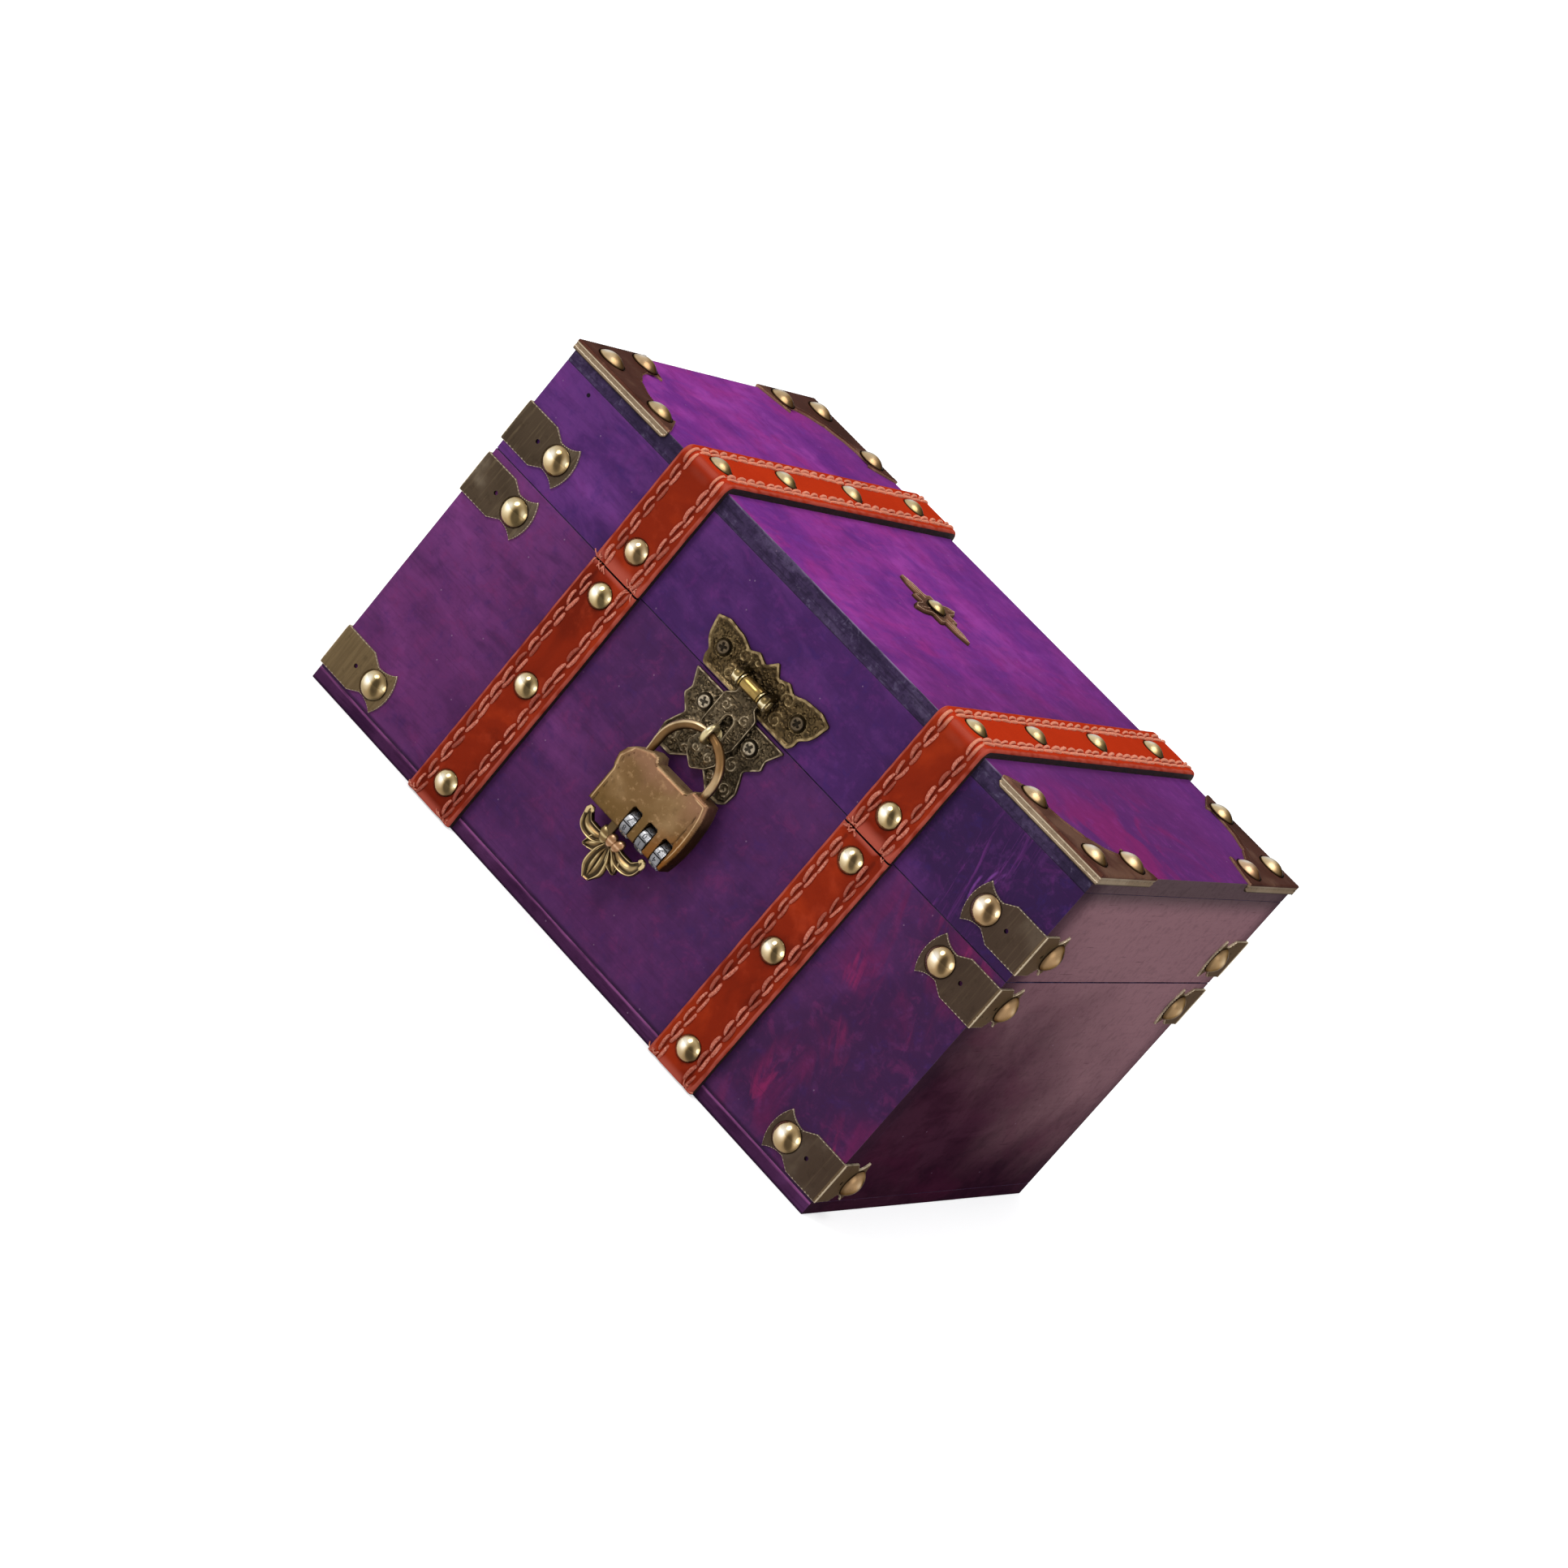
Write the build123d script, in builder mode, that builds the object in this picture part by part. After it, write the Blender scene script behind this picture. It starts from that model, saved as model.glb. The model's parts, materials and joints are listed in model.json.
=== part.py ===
from build123d import *
import math
import os

# Treasure chest box: a hinged wooden chest with nailed leather straps, stamped
# metal fittings, a butterfly hasp and a small dial padlock. Millimetres, +Z up,
# front towards -Y, origin under the middle of the chest, on what it stands on.

# Wooden carcass
chest_width = 225.0
chest_depth = 154.0
base_height = 90.35
lid_height = 40.35
lid_gap = 0.3
wall_thickness = 7.0
bottom_thickness = 4.5
top_thickness = 6.5
wood_edge_radius = 0.6

# Leather straps
strap_width = 19.0
strap_thickness = 2.8
strap_plate_gap = 7.5
strap_bend_radius = 3.6
strap_foot = 0.5

# Dome nails
strap_nail_radius = 4.2
strap_nail_height = 2.6
sheet_nail_radius = 4.8
sheet_nail_height = 2.8
emblem_nail_radius = 3.6
emblem_nail_height = 2.2
nail_rim = 0.4
nail_shank_radius = 0.8
nail_bite = 4.5
nail_clearance = 0.05
hole_spare = 0.25
base_strap_nail_shares = (0.9187, 0.5313, 0.1051)
lid_strap_nail_rise = 9.35
lid_strap_nail_shares = (-0.4675, -0.1948, 0.1006, 0.3896)

# Stamped sheet fittings
sheet_thickness = 0.8
sheet_bend_radius = 0.7
pinhole_radius = 0.55

# L-shaped corner clips
clip_height = 14.5
clip_long_length = 24.3
clip_short_length = 17.6
clip_long_nail = 18.0
clip_short_nail = 13.6
clip_long_pinhole = 9.5
clip_short_pinhole = 6.6
base_low_clip_rise = 12.7
base_high_clip_drop = 9.35
lid_clip_rise = 10.35
clip_body_share = 0.48
clip_neck_share = (0.64, 0.68)
clip_curve_share = (0.78, 0.74)
clip_horn_share = (0.91, 1.0)

# Corner plates of the lid
plate_arm = 40.0
plate_rim = 3.0
plate_rim_chamfer = 1.2
plate_nail_far = 31.0
plate_nail_near = 7.5
plate_nail_inset = 5.3
plate_outline_shares = (
    (1.0, 0.0), (0.98, 0.05), (0.85, 0.29), (0.81, 0.22), (0.68, 0.235), (0.55, 0.28), (0.42, 0.375),
    (0.385, 0.385),
)

# Ornament in the middle of the lid
emblem_radius = 16.0
emblem_depth_share = 0.88
emblem_thickness = 1.2
emblem_place = (-3.7, -2.8)
emblem_radius_shares = (1.0, 0.68, 0.36, 0.47, 0.56, 0.47, 0.36, 0.68)

# Butterfly hasp
hasp_sheet = 1.2
hasp_upper_half_width = 24.2
hasp_upper_height = 16.3
hasp_upper_rise = 0.5
hasp_upper_shares = (
    (0.0, 0.0), (0.76, 0.0), (0.81, 0.13), (0.81, 0.25), (0.91, 0.40), (0.95, 0.52), (1.0, 0.83),
    (0.83, 0.92), (0.56, 0.88), (0.39, 0.78), (0.27, 0.88), (0.12, 0.79), (0.0, 1.0),
)
hasp_upper_screws = (16.2, 7.7)
hasp_lower_half_width = 19.0
hasp_lower_height = 24.8
hasp_lower_drop = 0.75
hasp_lower_shares = (
    (0.0, 0.0), (1.0, 0.0), (0.85, 0.22), (0.89, 0.34), (0.67, 0.50), (0.73, 0.59), (0.82, 0.75),
    (0.79, 0.93), (0.68, 1.0), (0.42, 1.0), (0.16, 0.83), (0.0, 0.79),
)
hasp_lower_screws = (9.9, 6.0)
hasp_barrel_rise = 6.5
hasp_barrel_proud = 3.8
hasp_sleeve_radius = 2.3
hasp_sleeve_length = 8.6
hasp_ear_radius = 2.6
hasp_ear_length = 2.6
hasp_pin_radius = 0.9
hasp_pin_head_radius = 1.5
hasp_pin_head_height = 0.5
pivot_clearance = 0.05
end_clearance = 0.25
tongue_half_width = 6.8
tongue_length = 30.2
tongue_outline_shares = (
    (0.60, 0.14), (1.0, 0.22), (1.0, 0.58), (0.72, 0.70), (0.88, 0.80), (0.60, 0.90), (0.0, 1.0),
)
tongue_slot_width = 3.0
tongue_slot_top = 10.8
tongue_slot_bottom = 21.0

# Staple ring in the slot of the tongue
ring_drop = 17.5
ring_radius = 2.6
ring_wire_radius = 1.1
ring_stem_radius = 1.2
ring_stem_drop = 1.5
ring_collar_radius = 2.2
ring_collar_height = 0.6

# Screws
screw_head_radius = 2.1
screw_head_height = 0.8
screw_recess_width = 0.5
screw_recess_length = 2.2
screw_recess_depth = 0.45
screw_shank_radius = 0.8

# Butt hinges on the back
hinge_width_share = 0.3043
hinge_strap_gap = 4.0
hinge_leaf_height = 13.0
hinge_sheet = 1.2
hinge_axis_proud = 3.0
hinge_knuckle_radius = 2.2
hinge_pin_radius = 0.9
hinge_pin_head_radius = 1.5
hinge_pin_head_height = 0.6
hinge_screw_share = 0.2857
hinge_screw_rise = 8.4

# Padlock
lock_half_width = 17.6
lock_height = 24.1
lock_thickness = 8.0
lock_bevel = 1.1
lock_left_shares = (
    (-0.864, 0.0), (-0.858, 0.436), (-0.858, 0.485), (-0.898, 0.527), (-0.943, 0.660), (-0.885, 0.775),
    (-0.773, 0.863), (-0.466, 0.971), (-0.341, 0.971), (-0.273, 0.900),
)
lock_right_shares = ((0.432, 0.909), (0.511, 1.0), (0.875, 1.0), (0.943, 0.851))
lock_belly_share = (1.0, 0.436)
lock_foot_share = (0.932, 0.0)
shackle_wire_radius = 1.2
shackle_half_span = 11.1
shackle_leg_shown = 2.95
shackle_long_leg = 14.6
shackle_short_leg = 5.6
shackle_notch_rise = 4.6
shackle_notch_depth = 0.5
shackle_notch_width = 2.0
dial_radius = 4.8
dial_facets = 10
dial_width = 3.3
dial_pitch = 6.7
dial_height = 3.3
dial_count = 3
dial_clearance = 0.3
dial_groove_depth = 0.35
dial_groove_width = 0.5
axle_radius = 0.8
axle_reach = 2.4

# Fleur under the padlock
fleur_thickness = 2.4
fleur_place = -1.0
fleur_gap = 2.6
fleur_half_width = 12.8
fleur_height = 16.0
fleur_stem_width = 3.4
fleur_stem_place = -4.4
fleur_band_half_width = 4.6
fleur_band_height = 3.0
fleur_band_spare = 0.6
fleur_petal_shares = ((0.10, 0.14), (0.27, 0.45), (0.24, 0.66), (0.0, 1.0))
fleur_side_shares = (
    (0.25, 0.20), (0.62, 0.42), (0.86, 0.34), (1.0, 0.04), (0.90, 0.0), (0.78, 0.14), (0.50, 0.15),
)
fleur_tip_shares = ((0.16, 0.20), (0.36, 0.30), (0.56, 0.56), (0.34, 0.50), (0.14, 0.34))

# Places that follow from the sizes
sides = (-1, 1)
half_width = chest_width / 2
half_depth = chest_depth / 2
lid_bottom = base_height + lid_gap
top_height = lid_bottom + lid_height
seam_height = base_height + lid_gap / 2
strap_place = half_width - plate_arm - strap_plate_gap - strap_width / 2
strap_inner_edge = strap_place - strap_width / 2
base_strap_nail_heights = [base_height * share for share in base_strap_nail_shares]
lid_strap_nail_height = lid_bottom + lid_strap_nail_rise
lid_strap_nail_depths = [chest_depth * share for share in lid_strap_nail_shares]
base_high_clip_height = base_height - base_high_clip_drop
lid_clip_height = lid_bottom + lid_clip_rise
base_clip_rows = ((-1, (base_low_clip_rise, base_high_clip_height)), (1, (base_high_clip_height,)))
lid_clip_rows = ((-1, (lid_clip_height,)), (1, (lid_clip_height,)))
hinge_width = 2 * strap_inner_edge * hinge_width_share
hinge_place = strap_inner_edge - hinge_strap_gap - hinge_width / 2
nail_hole_radius = nail_shank_radius + nail_clearance
screw_hole_radius = screw_shank_radius + nail_clearance
wood_hole_depth = nail_bite + hole_spare
hasp_axis_height = lid_bottom + hasp_barrel_rise
ring_height = hasp_axis_height - ring_drop
tongue_back = hasp_barrel_proud - hasp_sleeve_radius + nail_clearance
tongue_front = tongue_back + hasp_sheet
ring_proud = tongue_front + ring_collar_height + ring_radius + ring_wire_radius / 2
arch_height = ring_height - shackle_half_span
lock_shoulder = arch_height - shackle_leg_shown
lock_bottom = lock_shoulder - lock_height
dial_axis_height = lock_bottom + dial_height
hinge_axis_depth = half_depth + hinge_axis_proud


def front_seat(x, z, proud=0):
    """A plane on the front face, raised by proud, that looks outwards."""
    return Plane(origin=(x, -half_depth - proud, z), x_dir=(1, 0, 0), z_dir=(0, -1, 0))


def back_seat(x, z, proud=0):
    """A plane on the back face, raised by proud, that looks outwards."""
    return Plane(origin=(x, half_depth + proud, z), x_dir=(-1, 0, 0), z_dir=(0, 1, 0))


def end_seat(side, y, z, proud=0):
    """A plane on the left or right face, raised by proud, that looks outwards."""
    return Plane(origin=(side * (half_width + proud), y, z), x_dir=(0, side, 0), z_dir=(side, 0, 0))


def top_seat(x, y, proud=0):
    """A plane on the lid's top, raised by proud, that looks up."""
    return Plane(origin=(x, y, top_height + proud), x_dir=(1, 0, 0), z_dir=(0, 0, 1))


def strap_seats(seat, heights, proud=0):
    """Nail seats of both straps on the front or the back."""
    return [seat(side * strap_place, z, proud) for side in sides for z in heights]


def strap_top_seats(proud=0):
    """Nail seats of both straps on the lid's top."""
    return [top_seat(side * strap_place, y, proud) for side in sides for y in lid_strap_nail_depths]


def clip_long_seats(rows, faces, proud=0):
    """Nail seats of the clips' long flaps on the named faces, -1 the front and 1 the back."""
    place = half_width - clip_long_nail
    seats = []
    for end, heights in rows:
        seat = front_seat if end < 0 else back_seat
        if end in faces:
            seats += [seat(side * place, z, proud) for side in sides for z in heights]
    return seats


def clip_short_seats(side, rows, proud=0):
    """Nail seats of the clips' short flaps on one end of the chest."""
    place = half_depth - clip_short_nail
    return [end_seat(side, end * place, z, proud) for end, heights in rows for z in heights]


def plate_corner(side, end):
    """A plane on a top corner of the lid, with both directions pointing inwards."""
    inwards = (-side, 0, 0) if side == end else (0, -end, 0)
    return Plane(origin=(side * half_width, end * half_depth, top_height), x_dir=inwards, z_dir=(0, 0, 1))


def plate_seats(side, end, proud=0):
    """The three nail seats of one corner plate."""
    places = (
        (plate_nail_far, plate_nail_inset),
        (plate_nail_near, plate_nail_near),
        (plate_nail_inset, plate_nail_far),
    )
    seats = []
    for across, inwards in places:
        seats.append(top_seat(side * (half_width - across), end * (half_depth - inwards), proud))
    return seats


def hasp_screw_seats(level, place, proud=0):
    """The two screw seats of one hasp plate, at a distance from its straight edge."""
    across, away = place
    return [front_seat(side * across, level + away, proud) for side in sides]


def hinge_screw_seats(place, direction, proud=0):
    """The two screw seats of one hinge leaf."""
    reach = hinge_width * hinge_screw_share
    height = seam_height + direction * hinge_screw_rise
    return [back_seat(place + side * reach, height, proud) for side in sides]


hasp_upper_bottom = lid_bottom + hasp_upper_rise
hasp_lower_top = base_height - hasp_lower_drop
upper_screw_place = hasp_upper_screws
lower_screw_place = (hasp_lower_screws[0], -hasp_lower_screws[1])


def dome_nail(cover, radius, height):
    """A dome-headed nail on z = 0 that goes down through a cover and into the wood."""
    length = cover + nail_bite
    with BuildPart() as nail:
        with BuildSketch(Plane.XZ):
            with BuildLine():
                TangentArc((0, height), (radius, nail_rim), tangent=(1, 0))
                Polyline(
                    (radius, nail_rim),
                    (radius, 0),
                    (nail_shank_radius, 0),
                    (nail_shank_radius, -length + nail_shank_radius),
                    (0, -length),
                    (0, height),
                )
            make_face()
        revolve(axis=Axis.Z)
    return nail.part


def pan_screw(cover):
    """A pan-headed screw with a cross recess, on z = 0, through a cover into the wood."""
    length = cover + nail_bite
    with BuildPart() as screw:
        with BuildSketch(Plane.XY.offset(-length)):
            Circle(screw_shank_radius)
        extrude(amount=length)
        with BuildSketch(Plane.XY):
            Circle(screw_head_radius)
        extrude(amount=screw_head_height)
        fillet(screw.edges().sort_by(Axis.Z)[-1], screw_head_height / 2)
        with BuildSketch(Plane.XY.offset(screw_head_height)):
            Rectangle(screw_recess_length, screw_recess_width)
            Rectangle(screw_recess_width, screw_recess_length)
        extrude(amount=-screw_recess_depth, mode=Mode.SUBTRACT)
    return screw.part


def fasteners(fastener, seats):
    """Identical nails or screws on their seats, as separate solids."""
    with BuildPart() as group:
        with Locations(*seats):
            add(fastener)
    return group


def drill(seats, radius, depth):
    """Holes that start on their seats, in the part being built."""
    with Locations(*seats):
        Hole(radius, depth=depth)


def round_corners(wall, end):
    """Break the two outer upright edges of a front or back wall."""
    upright = wall.edges().filter_by(Axis.Z).sort_by(Axis.Y)
    outer = upright[:2] if end < 0 else upright[-2:]
    fillet(outer, wood_edge_radius)


def long_wall(end, bottom, height, nail_seats, screw_seats):
    """A front or back wall over the chest's whole width."""
    with BuildPart() as wall:
        with BuildSketch(Plane.XY.offset(bottom)):
            with Locations((0, end * (half_depth - wall_thickness / 2))):
                Rectangle(chest_width, wall_thickness)
        extrude(amount=height)
        round_corners(wall, end)
        drill(nail_seats, nail_hole_radius, wood_hole_depth)
        drill(screw_seats, screw_hole_radius, wood_hole_depth)
    return wall


def end_wall(side, bottom, height, nail_seats):
    """A left or right wall between the front and back walls."""
    with BuildPart() as wall:
        with BuildSketch(Plane.XY.offset(bottom)):
            with Locations((side * (half_width - wall_thickness / 2), 0)):
                Rectangle(wall_thickness, chest_depth - 2 * wall_thickness)
        extrude(amount=height)
        drill(nail_seats, nail_hole_radius, wood_hole_depth)
    return wall


def flat_board(bottom, thickness, nail_seats):
    """The chest's bottom board or the lid's top board."""
    with BuildPart() as board:
        with BuildSketch(Plane.XY.offset(bottom)):
            RectangleRounded(chest_width, chest_depth, wood_edge_radius)
        extrude(amount=thickness)
        if nail_seats:
            fillet(board.faces().sort_by(Axis.Z)[-1].edges(), wood_edge_radius / 2)
            drill(nail_seats, nail_hole_radius, wood_hole_depth)
    return board


def base_strap(seat, side):
    """A nailed strap on the base's front or back."""
    height = base_height - strap_foot
    with BuildPart() as strap:
        with BuildSketch(seat(side * strap_place, strap_foot + height / 2)):
            Rectangle(strap_width, height)
        extrude(amount=strap_thickness)
        seats = [seat(side * strap_place, z, strap_thickness) for z in base_strap_nail_heights]
        drill(seats, nail_hole_radius, strap_thickness)
    return strap


def lid_strap(side):
    """A nailed strap up the lid's front, over its top and down its back."""
    place = side * strap_place
    with BuildPart() as strap:
        with BuildSketch(Plane.YZ.offset(place - strap_width / 2)) as outline:
            with Locations((0, lid_bottom)):
                Rectangle(
                    chest_depth + 2 * strap_thickness,
                    lid_height + strap_thickness,
                    align=(Align.CENTER, Align.MIN),
                )
            fillet(outline.vertices().group_by(Axis.Y)[-1], strap_bend_radius)
            with Locations((0, lid_bottom)):
                Rectangle(chest_depth, lid_height, align=(Align.CENTER, Align.MIN), mode=Mode.SUBTRACT)
        extrude(amount=strap_width)
        seats = [top_seat(place, y, strap_thickness) for y in lid_strap_nail_depths]
        seats.append(front_seat(place, lid_strap_nail_height, strap_thickness))
        seats.append(back_seat(place, lid_strap_nail_height, strap_thickness))
        drill(seats, nail_hole_radius, strap_thickness)
    return strap


def clip_flap(face, length, start, nail, pinhole):
    """A clip's flat flap from the corner to its horned end, with its two holes."""
    half = clip_height / 2
    neck = (clip_neck_share[0] * length, clip_neck_share[1] * half)
    curve = (clip_curve_share[0] * length, clip_curve_share[1] * half)
    horn = (clip_horn_share[0] * length, clip_horn_share[1] * half)
    with BuildSketch(face) as flap:
        with BuildLine():
            Polyline((start, 0), (start, half), (clip_body_share * length, half), neck)
            ThreePointArc(neck, curve, horn)
            ThreePointArc(horn, (length, 0), (horn[0], -horn[1]))
            ThreePointArc((horn[0], -horn[1]), (curve[0], -curve[1]), (neck[0], -neck[1]))
            Polyline((neck[0], -neck[1]), (clip_body_share * length, -half), (start, -half), (start, 0))
        make_face()
        with Locations((nail, 0)):
            Circle(nail_hole_radius, mode=Mode.SUBTRACT)
        with Locations((pinhole, 0)):
            Circle(pinhole_radius, mode=Mode.SUBTRACT)
    return flap.sketch


def corner_clip(side, end, z):
    """A stamped clip folded round an upright corner, with a nail in each flap."""
    corner = (side * half_width, end * half_depth, z)
    long_face = Plane(origin=corner, x_dir=(-side, 0, 0), z_dir=(0, end, 0))
    short_face = Plane(origin=corner, x_dir=(0, -end, 0), z_dir=(side, 0, 0))
    long_flap = clip_flap(long_face, clip_long_length, -sheet_thickness, clip_long_nail, clip_long_pinhole)
    short_flap = clip_flap(short_face, clip_short_length, 0, clip_short_nail, clip_short_pinhole)
    with BuildPart() as clip:
        extrude(long_flap, amount=sheet_thickness)
        extrude(short_flap, amount=sheet_thickness)
        upright = clip.edges().filter_by(Axis.Z)
        outer = upright.sort_by_distance((2 * side * half_width, 2 * end * half_depth, z))[0]
        fillet(outer, sheet_bend_radius)
    return clip


def corner_plate(side, end):
    """A stamped plate on a top corner of the lid, folded down over both edges."""
    corner = plate_corner(side, end)
    along = [(plate_arm * u, plate_arm * v) for u, v in plate_outline_shares]
    across = [(v, u) for u, v in reversed(along)]
    rim_bottom = top_height - plate_rim
    with BuildPart() as plate:
        with BuildSketch(corner):
            Polygon(
                (-sheet_thickness, -sheet_thickness),
                (plate_arm, -sheet_thickness),
                *along,
                *across,
                (-sheet_thickness, plate_arm),
                align=None,
            )
        extrude(amount=sheet_thickness)
        for face, length in (
            (Plane(origin=corner.origin, x_dir=(-side, 0, 0), z_dir=(0, end, 0)), plate_arm),
            (Plane(origin=corner.origin, x_dir=(0, -end, 0), z_dir=(side, 0, 0)), plate_arm),
        ):
            down = -1 if face.y_dir.Z > 0 else 1
            with BuildSketch(face):
                Polygon(
                    (-sheet_thickness, 0),
                    (length, 0),
                    (length, down * (plate_rim - plate_rim_chamfer)),
                    (length - plate_rim_chamfer, down * plate_rim),
                    (-sheet_thickness, down * plate_rim),
                    align=None,
                )
            extrude(amount=sheet_thickness)
        middle = (side * (half_width + sheet_thickness / 2), end * (half_depth + sheet_thickness / 2))
        with BuildSketch(Plane.XY.offset(rim_bottom)):
            with Locations(middle):
                Rectangle(sheet_thickness, sheet_thickness)
        extrude(amount=plate_rim)
        drill(plate_seats(side, end, sheet_thickness), nail_hole_radius, sheet_thickness)
    return plate


def wall_nail_seats(end, strap_heights, clip_rows):
    """Strap nail and clip nail seats of the front wall, end -1, or the back wall, end 1."""
    seat = front_seat if end < 0 else back_seat
    return strap_seats(seat, strap_heights) + clip_long_seats(clip_rows, (end,))


def mirrored_points(shares, half_span, length):
    """Both halves of an outline given as shares from its middle line."""
    right = [(half_span * u, length * v) for u, v in shares]
    left = [(-u, v) for u, v in reversed(right) if u > 0]
    return right + left


def save(piece, name):
    """Label a finished piece and write it."""
    piece.part.label = name
    export_step(piece.part, f"parts/{name}.step")


os.makedirs("parts", exist_ok=True)

# Base of the chest
base_screw_seats = hasp_screw_seats(hasp_lower_top, lower_screw_place)
base_hinge_seats = [seat for side in sides for seat in hinge_screw_seats(side * hinge_place, -1)]
base_front_nails = wall_nail_seats(-1, base_strap_nail_heights, base_clip_rows)
base_back_nails = wall_nail_seats(1, base_strap_nail_heights, base_clip_rows)
base_wall_height = base_height - bottom_thickness
base_front_wall = long_wall(-1, bottom_thickness, base_wall_height, base_front_nails, base_screw_seats)
base_back_wall = long_wall(1, bottom_thickness, base_wall_height, base_back_nails, base_hinge_seats)
base_left_wall = end_wall(-1, bottom_thickness, base_wall_height, clip_short_seats(-1, base_clip_rows))
base_right_wall = end_wall(1, bottom_thickness, base_wall_height, clip_short_seats(1, base_clip_rows))
base_bottom_board = flat_board(0, bottom_thickness, [])
save(base_front_wall, "base_front_wall")
save(base_back_wall, "base_back_wall")
save(base_left_wall, "base_left_wall")
save(base_right_wall, "base_right_wall")
save(base_bottom_board, "base_bottom_board")

# Lid
lid_screw_seats = hasp_screw_seats(hasp_upper_bottom, upper_screw_place)
lid_hinge_seats = [seat for side in sides for seat in hinge_screw_seats(side * hinge_place, 1)]
lid_front_nails = wall_nail_seats(-1, (lid_strap_nail_height,), lid_clip_rows)
lid_back_nails = wall_nail_seats(1, (lid_strap_nail_height,), lid_clip_rows)
plate_places = [(side, end) for side in sides for end in sides]
emblem_seat = [top_seat(*emblem_place)]
lid_top_nails = strap_top_seats() + emblem_seat
for side, end in plate_places:
    lid_top_nails += plate_seats(side, end)
lid_wall_height = lid_height - top_thickness
lid_front_wall = long_wall(-1, lid_bottom, lid_wall_height, lid_front_nails, lid_screw_seats)
lid_back_wall = long_wall(1, lid_bottom, lid_wall_height, lid_back_nails, lid_hinge_seats)
lid_left_wall = end_wall(-1, lid_bottom, lid_wall_height, clip_short_seats(-1, lid_clip_rows))
lid_right_wall = end_wall(1, lid_bottom, lid_wall_height, clip_short_seats(1, lid_clip_rows))
lid_top_board = flat_board(top_height - top_thickness, top_thickness, lid_top_nails)
save(lid_front_wall, "lid_front_wall")
save(lid_back_wall, "lid_back_wall")
save(lid_left_wall, "lid_left_wall")
save(lid_right_wall, "lid_right_wall")
save(lid_top_board, "lid_top_board")

# Leather straps
for side, side_name in ((-1, "left"), (1, "right")):
    save(base_strap(front_seat, side), f"base_strap_front_{side_name}")
    save(base_strap(back_seat, side), f"base_strap_back_{side_name}")
    save(lid_strap(side), f"lid_strap_{side_name}")

# Corner clips: two on each upright corner of the base in front, one at the back
end_names = {-1: "front", 1: "back"}
side_names = {-1: "left", 1: "right"}
for side, end in plate_places:
    corner_name = f"{end_names[end]}_{side_names[side]}"
    if end < 0:
        save(corner_clip(side, end, base_low_clip_rise), f"base_low_clip_{corner_name}")
    save(corner_clip(side, end, base_high_clip_height), f"base_high_clip_{corner_name}")
    save(corner_clip(side, end, lid_clip_height), f"lid_clip_{corner_name}")

# Corner plates and the ornament of the lid
for side, end in plate_places:
    save(corner_plate(side, end), f"lid_plate_{end_names[end]}_{side_names[side]}")

emblem_points = []
for step in range(4 * len(emblem_radius_shares)):
    turn = 2 * math.pi * step / (4 * len(emblem_radius_shares))
    reach = emblem_radius * emblem_radius_shares[step % len(emblem_radius_shares)]
    emblem_points.append((reach * math.cos(turn), emblem_depth_share * reach * math.sin(turn)))
with BuildPart() as lid_emblem:
    with BuildSketch(top_seat(*emblem_place)):
        Polygon(*emblem_points, align=None)
        Circle(nail_hole_radius, mode=Mode.SUBTRACT)
    extrude(amount=emblem_thickness)
save(lid_emblem, "lid_emblem")

# Dome nails
strap_nail = dome_nail(strap_thickness, strap_nail_radius, strap_nail_height)
sheet_nail = dome_nail(sheet_thickness, sheet_nail_radius, sheet_nail_height)
emblem_nail = dome_nail(emblem_thickness, emblem_nail_radius, emblem_nail_height)
base_strap_nails = fasteners(
    strap_nail,
    strap_seats(front_seat, base_strap_nail_heights, strap_thickness)
    + strap_seats(back_seat, base_strap_nail_heights, strap_thickness),
)
lid_strap_nails = fasteners(
    strap_nail,
    strap_seats(front_seat, (lid_strap_nail_height,), strap_thickness)
    + strap_seats(back_seat, (lid_strap_nail_height,), strap_thickness)
    + strap_top_seats(strap_thickness),
)
base_clip_nails = fasteners(
    sheet_nail,
    clip_long_seats(base_clip_rows, sides, sheet_thickness)
    + clip_short_seats(-1, base_clip_rows, sheet_thickness)
    + clip_short_seats(1, base_clip_rows, sheet_thickness),
)
lid_clip_nails = fasteners(
    sheet_nail,
    clip_long_seats(lid_clip_rows, sides, sheet_thickness)
    + clip_short_seats(-1, lid_clip_rows, sheet_thickness)
    + clip_short_seats(1, lid_clip_rows, sheet_thickness),
)
plate_nail_seats = [seat for side, end in plate_places for seat in plate_seats(side, end, sheet_thickness)]
lid_plate_nails = fasteners(sheet_nail, plate_nail_seats)
lid_emblem_nail = fasteners(emblem_nail, [top_seat(*emblem_place, emblem_thickness)])
save(base_strap_nails, "base_strap_nails")
save(lid_strap_nails, "lid_strap_nails")
save(base_clip_nails, "base_clip_nails")
save(lid_clip_nails, "lid_clip_nails")
save(lid_plate_nails, "lid_plate_nails")
save(lid_emblem_nail, "lid_emblem_nail")


# Butt hinges: each base leaf carries two knuckles and each lid leaf the middle one
knuckle_length = hinge_width / 3


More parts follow.
